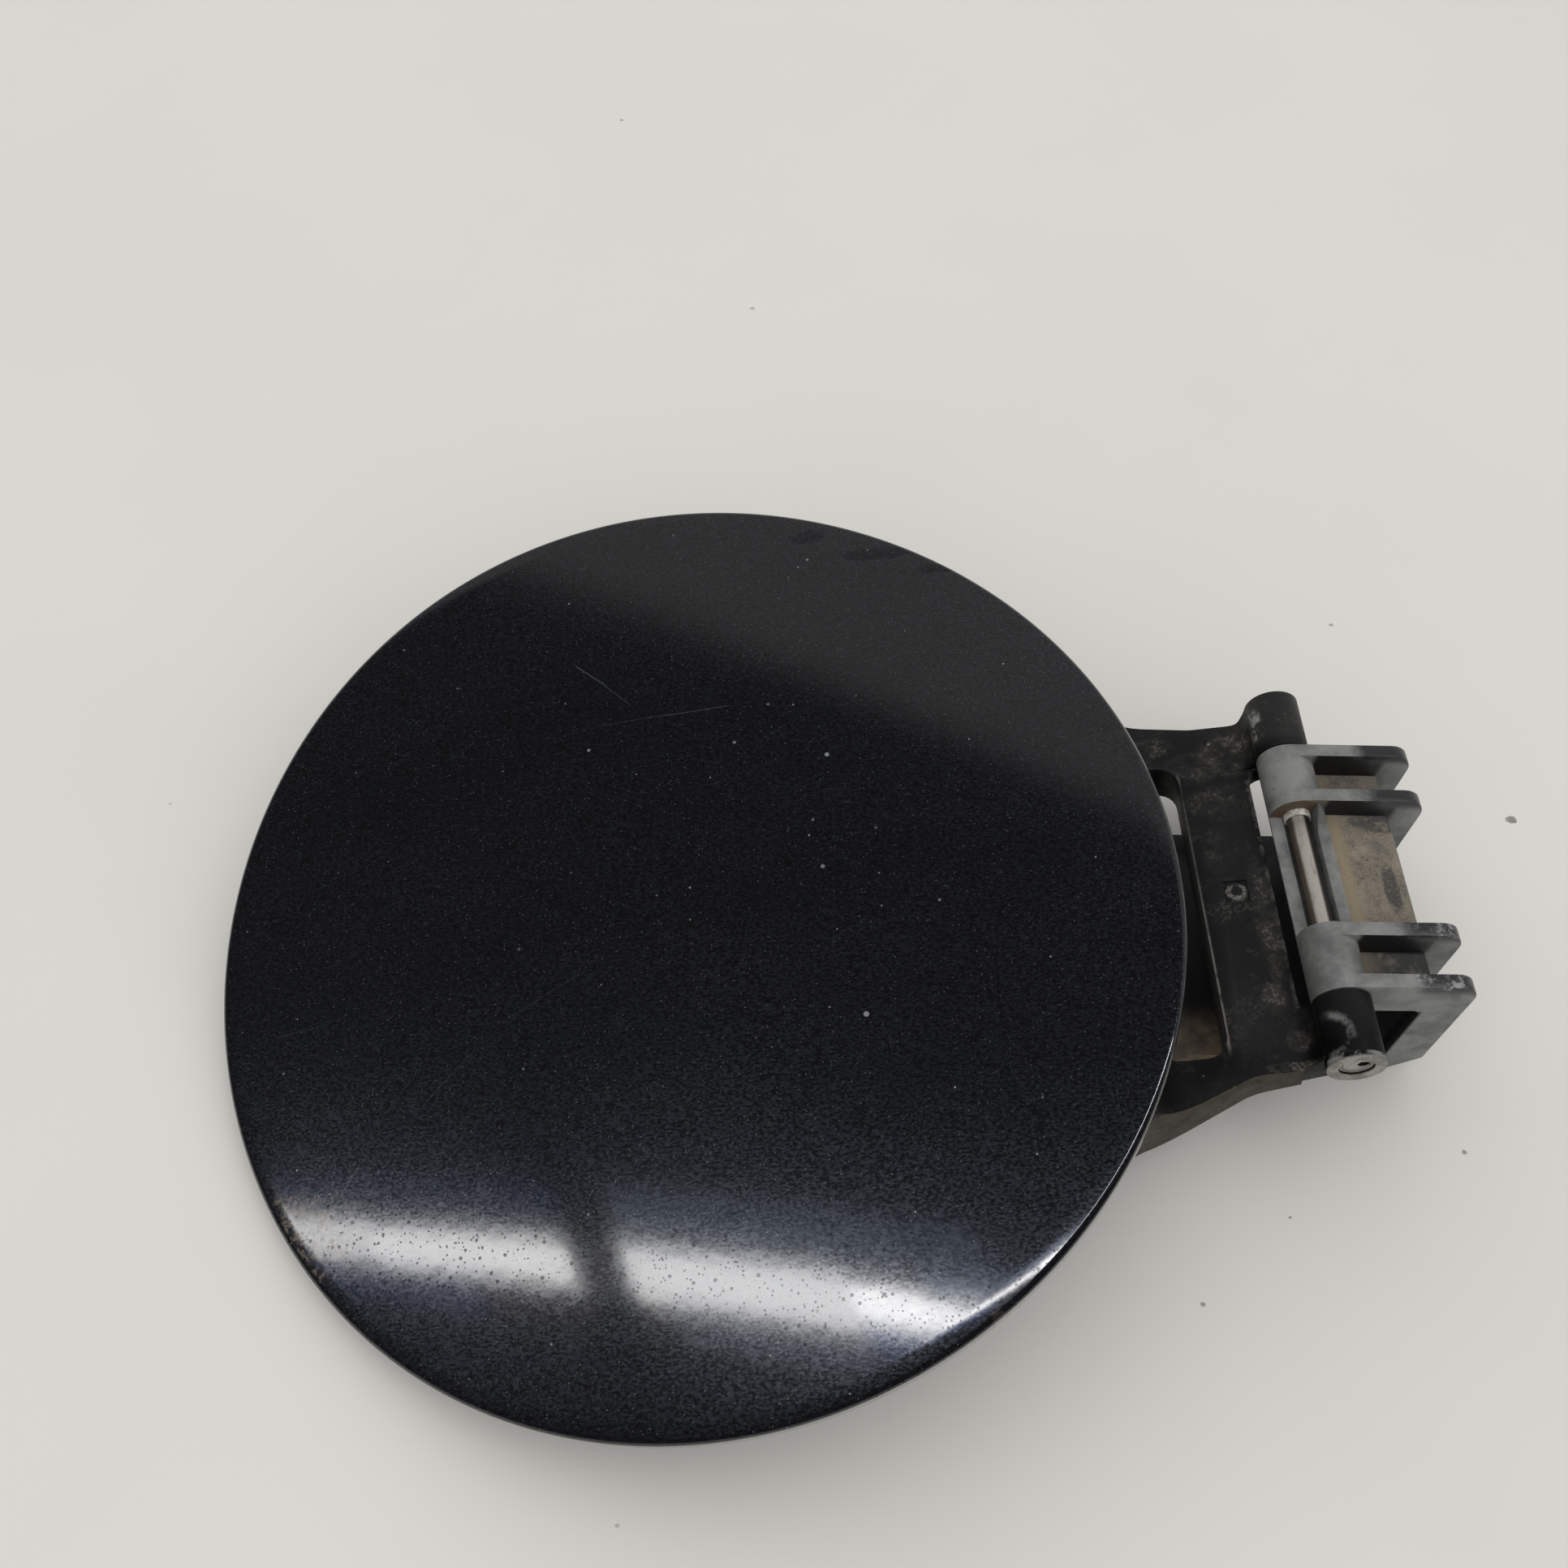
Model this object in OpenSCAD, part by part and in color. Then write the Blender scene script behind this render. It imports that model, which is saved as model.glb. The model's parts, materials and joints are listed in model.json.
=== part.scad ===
// Round car fuel door: a crowned painted panel on a black moulded hinge arm,
// which turns on a steel pin in a grey moulded bracket.
// The bracket sits on the ground plane, and the far rim of the panel leans on it too.
// +Y runs along the hinge pin, +Z is up, and the panel lies towards -X.

/* [Door panel] */
// Diameter of the round painted panel
panel_d = 170; // [150:1:190]
// Thickness of the painted panel
panel_t = 1.8; // [1.4:0.1:2.2]
// Height of the panel's turned-down rim
rim_h = 4; // [3.8:0.1:6]
// Thickness of the rim wall
rim_wall = 2; // [1.4:0.1:2.6]
// Radius of the rounded outer edge
rim_edge_r = 1.6; // [0.8:0.1:1.8]
// How far the panel bends down at the rim
crown_drop = 7; // [4:0.5:10]
// Direction in which the panel bends, from +X
crown_turn = 31; // [0:1:60]

/* [Panel position] */
// Lean of the whole door about the hinge pin
door_tilt = 12.3; // [8:0.1:16]
// Roll of the panel against the hinge pin
panel_roll = 7.5; // [4:0.5:9]
// From the hinge pin to the middle of the panel
panel_reach = 110.6; // [100:0.2:125]
// From the middle of the hinge to the middle of the panel, along the pin
panel_offset = 10.9; // [6:0.2:16]
// From the hinge pin up to the middle of the panel
panel_rise = 25.1; // [22:0.1:30]

/* [Inner carrier] */
// Glue gap between the panel and the carrier
bond_gap = 0.2; // [0.1:0.05:0.3]
// Gap between the carrier's edge and the rim
carrier_gap = 1; // [0.6:0.1:2]
// Thickness of the carrier plate
carrier_t = 1.8; // [1.4:0.1:2.2]
// Thickness of the carrier's ribs
carrier_rib_t = 1.6; // [1.2:0.1:2.4]
// Depth of the carrier's ribs below the plate
carrier_rib_h = 1.2; // [0.6:0.1:1.6]
// Radius of the inner ring rib
ring_rib_r = 40; // [30:1:50]
// Number of radial ribs
radial_ribs = 12; // [6:1:16]

/* [Hinge] */
// Diameter of the steel pin
pin_d = 4; // [3:0.1:5]
// Radial clearance of the pin in its bushes
pin_clearance = 0.05; // [0.02:0.01:0.1]
// Radial clearance of parts that are pushed together
push_clearance = 0.02; // [0.01:0.01:0.04]
// Outer diameter of barrels and knuckles
barrel_d = 10; // [9:0.2:12]
// Wall of the pin bushes
bush_wall = 0.4; // [0.3:0.05:0.6]
// How far a bush stands out of its barrel
bush_lip = 1.2; // [0.6:0.1:2]
// Length of the open trough between the two barrels
trough_len = 25.3; // [20:0.2:28]
// Length of one bracket barrel
barrel_len = 12.8; // [10:0.2:16]
// Length of one arm knuckle
knuckle_len = 12.3; // [10:0.2:14]
// Play between a barrel and a knuckle
end_play = 0.3; // [0.2:0.05:0.6]
// Diameter of the pin's head
head_d = 6; // [5.4:0.1:7]
// Thickness of the pin's head
head_t = 1.4; // [1:0.1:2]
// Diameter of the hole in the pin's head
head_hole_d = 2; // [1.4:0.1:2.4]
// Offset of that hole from the middle of the head
head_hole_off = 1.2; // [0:0.1:1.4]
// Depth of the pin's ends below the knuckle faces
pin_recess = 0.5; // [0.2:0.1:1]

/* [Hinge arm] */
// From the pin down to the top face of the arm
arm_top = 2.7; // [2.4:0.1:3]
// Thickness of the arm's face
arm_t = 2.3; // [1.8:0.1:2.3]
// Thickness of the arm's side walls
arm_wall = 1.8; // [1.4:0.1:2.2]
// From the pin to the near edge of the cross strip
strip_near = 6.6; // [6.4:0.1:7.6]
// From the pin to the far edge of the cross strip
strip_far = 19.6; // [16:0.2:22]
// Corner radius of the opening beyond the strip
slot_corner_r = 4; // [2:0.5:6]
// Upper end of that opening, from the middle of the hinge
slot_up = 27.8; // [26:0.2:28.6]
// Lower end of that opening, from the middle of the hinge
slot_down = 32.8; // [30:0.2:33.5]
// How much that opening widens towards its far end, at each side
slot_flare = 6.6; // [4:0.2:9]
// From the pin to where the arm starts to rise
neck_start = 30; // [26:0.5:36]
// From the pin to the end of the arm's legs under the panel
leg_end = 63; // [55:1:66]
// How far the upper leg spreads beyond its knuckle at that end
leg_spread_up = 10; // [6:0.5:12]
// How far the lower leg spreads beyond its knuckle at that end
leg_spread_down = 22; // [16:0.5:24]
// From the pin to the bulge in the lower leg
bulge_start = 36; // [32:0.5:42]
// How far the lower leg bulges beyond its knuckle there
bulge_out = 7.4; // [6:0.2:11]
// Width of the strip beside the knuckles before the legs spread
knuckle_web = 9.3; // [6:0.1:10]
// Set-back of the arm's outer edge beside a knuckle's end
knuckle_step = 1.6; // [1:0.2:3]
// Set-back of the arm's edge from the end of the lower knuckle
web_step = 1.3; // [0.6:0.1:2]
// Further set-back of that edge close beside the knuckle
web_nick = 0.6; // [0.3:0.1:0.9]
// From the pin to where the further set-back ends
web_reach = 8; // [6.5:0.5:10]
// Radius of the fillet between the arm's face and a knuckle
knuckle_fillet_r = 3.4; // [2:0.2:4]
// Depth of the arm's walls beside the knuckles, below the barrels
wall_near = 6; // [4:0.5:7]
// Depth of the arm's walls at the neck, below the barrels
wall_deep = 9; // [7:0.5:10]
// Slope of the rising neck
neck_slope = 55; // [45:1:65]
// Bend radius on top of the neck
neck_bend_r = 10; // [6:0.5:14]
// How far the walls reach below the knuckles at the pin
strip_lip = 0.4; // [0.2:0.1:0.6]
// Thickness of the ribs under the strip
strip_rib_t = 1.4; // [1:0.1:2]
// Number of ribs under the strip
strip_ribs = 3; // [1:1:5]
// Width of the square mark that the mould leaves on the strip
mark_w = 4.4; // [3:0.2:6]
// Depth of that mark
mark_depth = 0.4; // [0.2:0.1:0.6]
// From the middle of the hinge down to the mark
mark_down = 0.6; // [-4:0.2:6]

/* [Bracket] */
// From the pin down to the top of the bracket's deck
deck_drop = -0.2; // [-0.6:0.1:1]
// Thickness of the deck
deck_t = 3.2; // [2.8:0.1:4]
// Extra depth of the two outer bays of the deck
bay_drop = 1.5; // [0.5:0.1:1.6]
// From the pin to the outside of the back wall
back_reach = 17.8; // [16:0.2:19]
// Thickness of the back wall
back_wall = 2; // [1.6:0.1:2.4]
// Thickness of the base plate
base_t = 2.4; // [2:0.1:3]
// Reach of the base plate in front of the pin
base_reach = 24; // [20:0.5:26]
// How much shorter than the barrels the base plate is, at each end
base_inset = 1.2; // [0.8:0.1:2.4]
// Thickness of a fin
fin_t = 2.6; // [2:0.1:3]
// From the pin to the back edge of the fins
fin_reach = 23.2; // [22:0.2:25]
// Set-back of the inner fins from the barrels' inner ends
fin_setback = 0.1; // [0:0.1:0.8]
// Radius of the fins' top corner
fin_corner_r = 4; // [2:0.2:4.4]
// Height of the slanted cut at the foot of a fin
fin_cut = 4.6; // [3:0.2:6]
// From the pin down to the top of the fins' windows
window_drop = 3.8; // [3.2:0.1:4.4]
// Reach of the fins' foot beyond their windows' lower corner
foot_len = 2; // [1:0.5:5]
// Radius of the trough in which the middle of the pin lies
trough_r = 2.6; // [2.55:0.05:3]
// From the pin down to the top of the trough's front wall
front_lip = 0.8; // [0.4:0.1:1.4]
// From the pin up to the top of the trough's back wall
back_lip = 1.5; // [1:0.1:2]
// Length over which that back wall rises to the upper barrel
wall_ramp = 4.2; // [3:0.2:6]
// Radius of the bracket's small rounded corners
edge_r = 1.5; // [1:0.1:2]
// Radius of the bracket's inner corners
inner_r = 3; // [2:0.1:4]
// From the back wall in to the windows of the fins
window_gap = 0.2; // [0:0.1:0.6]
// Diameter of the screw holes in the base plate
screw_d = 5; // [4:0.1:6]
// Distance between the screw holes
screw_pitch = 32; // [28:0.5:38]
// From the pin to the screw holes
screw_reach = 10; // [9:0.2:14]

/* [Latch and buffers] */
// From the panel's edge in to the striker
striker_inset = 25; // [23:0.5:30]
// Width of the striker's loop
striker_w = 12; // [10:0.5:16]
// Thickness of the striker's loop
striker_t = 3; // [2:0.2:4]
// Height of the striker's loop
striker_h = 9; // [7:0.2:9.4]
// Thickness of the bar that the loop is bent from
striker_bar = 2.2; // [1.8:0.1:2.6]
// Thickness of the striker's foot
striker_foot_t = 1.6; // [1.2:0.1:2]
// Length of the striker's foot
striker_foot_len = 9.6; // [8:0.2:12]
// Height of the pads that carry the striker and the buffers
pad_h = 1.4; // [0.8:0.1:1.4]
// Diameter of the stakes that hold the striker
stake_d = 2.4; // [2:0.1:3]
// Distance from the striker's loop to the middle of a stake
stake_gap = 2.2; // [1.8:0.1:3]
// From the panel's edge in to the rubber buffers
buffer_inset = 19; // [17:0.5:24]
// Angle between the striker and each buffer
buffer_angle = 40; // [30:1:60]
// Diameter of a buffer
buffer_d = 8; // [6:0.2:9]
// Height of a buffer
buffer_h = 2.4; // [1.5:0.1:2.6]
// Diameter of a buffer's stem
stem_d = 3.2; // [2.4:0.1:4]

/* [Hidden] */

$fn = 64;
// Steps around the panel, and rings from its middle to its edge
panel_steps = 96;
panel_rings = 7;
// Steps on the panel's rounded edge, and steps on a rounded corner of an outline
edge_steps = 5;
corner_steps = 6;
// A length that reaches past anything it cuts
past = 300;
// Overlap where one shape of a piece is cut through another
cut = 1;

panel_r = panel_d / 2;
// Radius of the bend that drops the rim by crown_drop
crown_r = (panel_r * panel_r + crown_drop * crown_drop) / (2 * crown_drop);
carrier_r = panel_r - rim_wall - carrier_gap;
carrier_top = panel_t + bond_gap;
carrier_low = carrier_top + carrier_t;

pin_r = pin_d / 2;
barrel_r = barrel_d / 2;
bush_in_r = pin_r + pin_clearance;
bush_out_r = bush_in_r + bush_wall;
head_r = head_d / 2;

// Places along the pin, from the middle of the hinge
trough_half = trough_len / 2;
barrel_end = trough_half + barrel_len;
base_half = barrel_end - base_inset;
knuckle_in = barrel_end + end_play;
knuckle_end = knuckle_in + knuckle_len;
web_edge = knuckle_end - web_step;

arm_low = arm_top + arm_t;
deck_low = deck_drop + deck_t;

// Height of the panel's top face over the panel's own middle plane
function crown(x, y) =
    let (along = x * cos(crown_turn) + y * sin(crown_turn))
    crown_drop / 2 - crown_r + sqrt(crown_r * crown_r - along * along);

// A point of the panel's frame seen from the hinge pin, before the door leans
function from_panel(p) = [
    p.x - panel_reach,
    p.y * cos(panel_roll) - p.z * sin(panel_roll) - panel_offset,
    p.y * sin(panel_roll) + p.z * cos(panel_roll) + panel_rise
];

// Height of such a point over the hinge pin once the door leans
function lean_height(p) = p.x * sin(door_tilt) + p.z * cos(door_tilt);

// The rim's lowest point sets how high the hinge pin stands over the ground
rim_heights = [
    for (a = [0:1:359])
        let (x = panel_r * cos(a), y = panel_r * sin(a))
        lean_height(from_panel([x, y, crown(x, y) - rim_h]))
];
hinge_h = -min(rim_heights);

base_top = base_t - hinge_h;

// Unit vector along v
function unit(v) = v / norm(v);

// Left-hand normal of the edge from a to b
function left_of(a, b) = let (d = unit(b - a)) [-d.y, d.x];

// Corner i of a closed outline, counted round its ends
function at(pts, i) = pts[(i + len(pts)) % len(pts)];
function place(p) = [p.x, p.y];

// An outline of corners [x, y, radius], moved inwards by d (counter-clockwise outlines)
function inset(pts, d) = [
    for (i = [0:len(pts) - 1])
        let (a = place(at(pts, i - 1)), b = place(pts[i]), c = place(at(pts, i + 1)))
        let (m = left_of(a, b), n = left_of(b, c))
        let (p = b + d * (m + n) / (1 + m * n))
        let (outer_corner = cross(b - a, c - b) > 0)
        [p.x, p.y, max(pts[i].z + (outer_corner ? -d : d), 0)]
];

// The same outline with each corner rounded by its own radius
function rounded(pts) = [
    for (i = [0:len(pts) - 1])
        let (a = place(at(pts, i - 1)), b = place(pts[i]), c = place(at(pts, i + 1)), r = pts[i].z)
        let (m = left_of(a, b), n = left_of(b, c))
        let (side = cross(b - a, c - b) > 0 ? 1 : -1)
        let (middle = b + side * r * (m + n) / (1 + m * n))
        let (from = atan2(-side * m.y, -side * m.x))
        let (turn = atan2(cross(m, n), m * n))
        each r > 0
            ? [for (k = [0:corner_steps])
                   let (a1 = from + turn * k / corner_steps)
                   middle + r * [cos(a1), sin(a1)]]
            : [b]
];

// The arm seen from above, from the hinge pin towards -X
function arm_outline() = [
    [0, -web_edge + web_nick, 0],
    [0, -knuckle_in, 0],
    [-strip_near, -knuckle_in, barrel_r / 2],
    [-strip_near, knuckle_in, barrel_r / 2],
    [0, knuckle_in, 0],
    [0, knuckle_end, 0],
    [-barrel_r, knuckle_end, knuckle_step / 2],
    [-barrel_r - knuckle_step, knuckle_end - knuckle_step, knuckle_step],
    [-strip_near - knuckle_web, knuckle_end - knuckle_step, 1.5 * knuckle_web],
    [-neck_start, knuckle_end + knuckle_step / 2, 2 * neck_bend_r],
    [-leg_end, knuckle_end + leg_spread_up, slot_corner_r],
    [-leg_end, -knuckle_end - leg_spread_down, slot_corner_r],
    [-bulge_start, -knuckle_end - bulge_out, 2 * neck_bend_r],
    [-strip_near - knuckle_web, -web_edge, neck_bend_r],
    [-web_reach, -web_edge, 0],
    [-web_reach, -web_edge + web_nick, 0]
];

// The opening between the two legs of the arm, which runs out under the panel
function slot_outline() = [
    [-strip_far, -slot_down, slot_corner_r],
    [-strip_far, slot_up, slot_corner_r],
    [-neck_start, slot_up + slot_flare / 12, neck_bend_r],
    [-leg_end - cut, slot_up + slot_flare * 0.8, 0],
    [-leg_end - cut, -slot_down - slot_flare, 0],
    [-neck_start, -slot_down - slot_flare / 12, neck_bend_r]
];

// Run of the neck from its bend to well above the panel
neck_run = 3 * panel_rise;
neck_up = neck_run * [-cos(neck_slope), sin(neck_slope)];

// Corner of the neck's bend on a face that lies d under the top face
function neck_corner(d) = [-neck_start - d * tan(neck_slope / 2), -arm_top - d];

// Side view of the arm's face: the flat strip, the bend and the rise
function face_profile() =
    let (b = neck_corner(0), c = neck_corner(arm_t))
    [
        [0, -arm_low, 0],
        [0, -arm_top, 0],
        [b.x, b.y, neck_bend_r],
        [b.x + neck_up.x, b.y + neck_up.y, 0],
        [c.x + neck_up.x, c.y + neck_up.y, 0],
        [c.x, c.y, neck_bend_r + arm_t]
    ];

// Side view of the walls that hang from the face, deeper away from the pin
function wall_profile() =
    let (b = neck_corner(0))
    [
        [0, -barrel_r - strip_lip, 0],
        [0, -arm_top, 0],
        [b.x, b.y, neck_bend_r],
        [b.x + neck_up.x, b.y + neck_up.y, 0],
        [-leg_end - panel_rise, 1.5 * panel_rise, 0],
        [-1.25 * neck_start, -barrel_r - wall_deep, 2 * neck_bend_r],
        [-strip_near - knuckle_web, -barrel_r - wall_near, neck_bend_r]
    ];

// A side view, given as x and z, drawn out along the pin from y = low to y = high
module along_pin(low, high) {
    translate([0, high, 0])
        rotate([90, 0, 0])
            linear_extrude(height = high - low)
                children();
}

// A cylinder about the hinge pin's line from y = low to y = high
module pin_cylinder(r, low, high) {
    translate([0, high, 0])
        rotate([90, 0, 0])
            cylinder(r = r, h = high - low);
}

// Shapes drawn about the hinge pin, set at the pin's height
module at_pin() {
    translate([0, 0, hinge_h])
        children();
}

// Shapes of the door, drawn about the hinge pin before it leans
module at_door() {
    at_pin()
        rotate([0, -door_tilt, 0])
            children();
}

// Shapes drawn about the middle of the panel
module on_panel() {
    translate([-panel_reach, -panel_offset, panel_rise])
        rotate([panel_roll, 0, 0])
            children();
}

// All that lies more than drop under the panel's top face
module under_crown(drop) {
    translate([0, 0, crown_drop / 2 - crown_r])
        rotate([0, 0, crown_turn])
            rotate([90, 0, 0])
                cylinder(r = crown_r - drop, h = past, center = true, $fn = 360);
}

// A round shape given as points [radius, depth], from the middle of its top face
// round its edge to the middle of its lower face, laid on the panel's bend
module crowned_turning(profile) {
    last = len(profile) - 1;
    steps = panel_steps;
    rings = [for (i = [1:last - 1]) profile[i]];
    count = len(rings);
    points = concat(
        [[0, 0, crown(0, 0) - profile[0].y], [0, 0, crown(0, 0) - profile[last].y]],
        [for (p = rings, k = [0:steps - 1])
            let (x = p.x * cos(360 * k / steps), y = p.x * sin(360 * k / steps))
            [x, y, crown(x, y) - p.y]]
    );
    function id(i, k) = 2 + i * steps + (k % steps);
    faces = concat(
        [for (k = [0:steps - 1]) [0, id(0, k + 1), id(0, k)]],
        [for (i = [0:count - 2], k = [0:steps - 1]) [id(i, k), id(i, k + 1), id(i + 1, k + 1)]],
        [for (i = [0:count - 2], k = [0:steps - 1]) [id(i, k), id(i + 1, k + 1), id(i + 1, k)]],
        [for (k = [0:steps - 1]) [1, id(count - 1, k), id(count - 1, k + 1)]]
    );
    polyhedron(points = points, faces = faces, convexity = 4);
}

// Section of the painted panel: face, rounded edge, rim and inside
function skin_profile() =
    let (flat_r = panel_r - rim_edge_r, inner_r = panel_r - rim_wall)
    let (nick = rim_wall / 5, root = rim_wall / 3)
    concat(
        [[0, 0]],
        [for (i = [1:panel_rings]) [flat_r * i / panel_rings, 0]],
        [for (k = [1:edge_steps])
            let (a = 90 * k / edge_steps)
            [flat_r + rim_edge_r * sin(a), rim_edge_r * (1 - cos(a))]],
        [[panel_r, rim_h - nick], [panel_r - nick, rim_h], [inner_r, rim_h]],
        [[inner_r, panel_t + root], [inner_r - root, panel_t]],
        [for (i = [panel_rings - 1:-1:1]) [(inner_r - root) * i / panel_rings, panel_t]],
        [[0, panel_t]]
    );

module outer_skin() {
    color([0.05, 0.06, 0.08])
        at_door()
            on_panel()
                crowned_turning(skin_profile());
}

// A flat pad under the carrier at a place of the panel, for what is fixed there
pad_low = carrier_low + pad_h;
module pad(x, y, r) {
    translate([x, y, crown(x, y) - pad_low])
        cylinder(r = r, h = pad_h + carrier_t);
}

// Places of the two buffers: side = 1 for the upper one and -1 for the lower one
function buffer_place(side) =
    let (a = 180 - side * buffer_angle)
    buffer_reach * [cos(a), sin(a)];
buffer_pad_r = buffer_d / 2 + 1;
stake_r = stake_d / 2;
stem_r = stem_d / 2;

// Places of the striker and its two stakes, which stand outside the loop's legs
striker_reach = panel_r - striker_inset;
stake_place = striker_w / 2 + stake_gap;
striker_pad_r = stake_place + stake_d;
buffer_reach = panel_r - buffer_inset;

// The carrier plate with its ribs and pads, glued under the panel
module carrier() {
    intersection() {
        under_crown(carrier_top);
        difference() {
            union() {
                difference() {
                    translate([0, 0, -past / 2])
                        cylinder(r = carrier_r, h = past);
                    under_crown(carrier_low);
                }
                carrier_ribs();
                pad(-striker_reach, 0, striker_pad_r);
                for (side = [-1, 1])
                    pad(buffer_place(side).x, buffer_place(side).y, buffer_pad_r);
                for (side = [-1, 1])
                    translate([-striker_reach, side * stake_place, striker_seat - striker_foot_t])
                        cylinder(r = stake_r, h = striker_foot_t + cut);
            }
            for (side = [-1, 1])
                translate([buffer_place(side).x, buffer_place(side).y, -past / 2])
                    cylinder(r = stem_r + push_clearance, h = past);
        }
    }
}

// Height of the striker's seat over the panel's middle plane
striker_seat = crown(-striker_reach, 0) - pad_low;

// A rim rib, an inner ring rib and radial ribs between them
module carrier_ribs() {
    difference() {
        union() {
            rib_ring(carrier_r);
            rib_ring(ring_rib_r);
            for (i = [0:radial_ribs - 1])
                rotate([0, 0, 360 * (i + 0.5) / radial_ribs])
                    translate([ring_rib_r - cut, -carrier_rib_t / 2, -past / 2])
                        cube([carrier_r - ring_rib_r, carrier_rib_t, past]);
        }
        under_crown(carrier_low + carrier_rib_h);
    }
}

module rib_ring(r) {
    translate([0, 0, -past / 2])
        difference() {
            cylinder(r = r, h = past);
            cylinder(r = r - carrier_rib_t, h = past);
        }
}

// The face of the arm, cut to its outline
module arm_face() {
    intersection() {
        linear_extrude(height = past, center = true)
            polygon(rounded(arm_outline()));
        along_pin(-past / 2, past / 2)
            polygon(rounded(face_profile()));
    }
}

// The walls round the outline and round the opening, and the ribs under the strip
module arm_walls() {
    intersection() {
        linear_extrude(height = past, center = true) {
            difference() {
                polygon(rounded(arm_outline()));
                polygon(rounded(inset(arm_outline(), arm_wall)));
            }
            intersection() {
                polygon(rounded(arm_outline()));
                polygon(rounded(inset(slot_outline(), -arm_wall)));
            }
            for (i = [1:strip_ribs])
                translate([-strip_far, rib_place(i) - strip_rib_t / 2])
                    square([strip_far - strip_near, strip_rib_t]);
        }
        along_pin(-past / 2, past / 2)
            polygon(rounded(wall_profile()));
    }
}

function rib_place(i) = -knuckle_in + 2 * knuckle_in * i / (strip_ribs + 1);

// The square mark that the mould leaves on the strip, with a round stud in it
module mould_mark() {
    translate([-(strip_near + strip_far) / 2, -mark_down, -arm_top])
        difference() {
            cube([mark_w, mark_w, 2 * mark_depth], center = true);
            cylinder(r = 0.42 * mark_w, h = past, center = true);
        }
}

// The opening between the strip and the panel, cut through the arm's face and walls
module slot_cut() {
    linear_extrude(height = past, center = true)
        polygon(rounded(slot_outline()));
}

module hinge_arm() {
    color([0.13, 0.13, 0.13])
        at_door()
            difference() {
                union() {
                    on_panel()
                        carrier();
                    intersection() {
                        difference() {
                            union() {
                                arm_face();
                                arm_walls();
                            }
                            slot_cut();
                        }
                        on_panel()
                            under_crown(carrier_top);
                    }
                    for (side = [-1, 1])
                        knuckle(side);
                }
                pin_cylinder(pin_r + push_clearance, -knuckle_end - cut, knuckle_end + cut);
                pin_cylinder(head_r + push_clearance, -knuckle_end - cut, head_face + head_t);
                mould_mark();
            }
}

// The outer face of the pin's head, inside the lower knuckle
head_face = -knuckle_end + pin_recess;

// Side view of the fillet between the arm's face and a knuckle
function fillet_profile() = [
    [0, -arm_low, 0],
    [0, knuckle_fillet_r - arm_top, 0],
    [-barrel_r, knuckle_fillet_r - arm_top, 0],
    [-barrel_r, -arm_top, knuckle_fillet_r],
    [-barrel_r - knuckle_fillet_r, -arm_top, 0],
    [-barrel_r - knuckle_fillet_r, -arm_low, 0]
];

module knuckle(side) {
    low = side > 0 ? knuckle_in : -knuckle_end;
    pin_cylinder(barrel_r, low, low + knuckle_len);
    intersection() {
        along_pin(low, low + knuckle_len)
            polygon(rounded(fillet_profile()));
        linear_extrude(height = past, center = true)
            polygon(rounded(arm_outline()));
    }
}

// The moulded loop that the car's lock catches, staked to its pad
module latch_striker() {
    foot_w = 2 * striker_pad_r - 1;
    foot_len = striker_foot_len;
    bar = striker_bar;
    color([0.2, 0.2, 0.2])
        at_door()
            on_panel()
                translate([-striker_reach, 0, striker_seat])
                    difference() {
                        union() {
                            translate([-foot_len / 2, -foot_w / 2, -striker_foot_t])
                                cube([foot_len, foot_w, striker_foot_t]);
                            translate([striker_t / 2, 0, 0])
                                rotate([0, -90, 0])
                                    linear_extrude(height = striker_t)
                                        polygon(rounded(loop_outline(striker_w / 2, 0, bar)));
                        }
                        translate([-past / 2, 0, 0])
                            rotate([0, 90, 0])
                                linear_extrude(height = past)
                                    mirror([1, 0])
                                        polygon(rounded(loop_outline(striker_w / 2 - bar, bar, bar / 2)));
                        for (side = [-1, 1])
                            translate([0, side * stake_place, 0])
                                cylinder(r = stake_r + push_clearance, h = past, center = true);
                    }
}

// One side of the striker's loop: its width is 2 * half, and edge is its bar's thickness
function loop_outline(half, edge, r) =
    let (low = -striker_foot_t - striker_h + edge, high = edge > 0 ? -striker_foot_t : 0)
    [
        [low, -half, r],
        [high, -half, 0],
        [high, half, 0],
        [low, half, r]
    ];

// A rubber button whose stem sits in the carrier
module buffer(side) {
    p = buffer_place(side);
    dome = buffer_h / 2;
    color([0.08, 0.08, 0.08])
        at_door()
            on_panel()
                translate([p.x, p.y, crown(p.x, p.y) - pad_low])
                    rotate([180, 0, 0])
                        rotate_extrude($fn = 32)
                            union() {
                                translate([0, -pad_h - carrier_t / 2])
                                    square([stem_r, pad_h + carrier_t / 2 + cut]);
                                square([buffer_d / 2 - dome, buffer_h]);
                                square([buffer_d / 2, buffer_h - dome]);
                                translate([buffer_d / 2 - dome, buffer_h - dome])
                                    intersection() {
                                        circle(r = dome, $fn = 32);
                                        square(dome);
                                    }
                            }
}

module hinge_pin() {
    color([0.62, 0.58, 0.53])
        at_door()
            difference() {
                union() {
                    pin_cylinder(pin_r, head_face, knuckle_end - pin_recess);
                    pin_cylinder(head_r, head_face, head_face + head_t);
                }
                translate([head_hole_off, 0, 0])
                    pin_cylinder(head_hole_d / 2, head_face - cut, head_face + head_t / 2);
            }
}

// A thin sleeve in each barrel, whose lip stands out beside the bare pin
module pin_bush(side) {
    low = side > 0 ? trough_half - bush_lip : -barrel_end;
    color([0.8, 0.78, 0.72])
        at_pin()
            difference() {
                pin_cylinder(bush_out_r, low, low + barrel_len + bush_lip);
                pin_cylinder(bush_in_r, low - cut, low + barrel_len + bush_lip + cut);
            }
}

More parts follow.
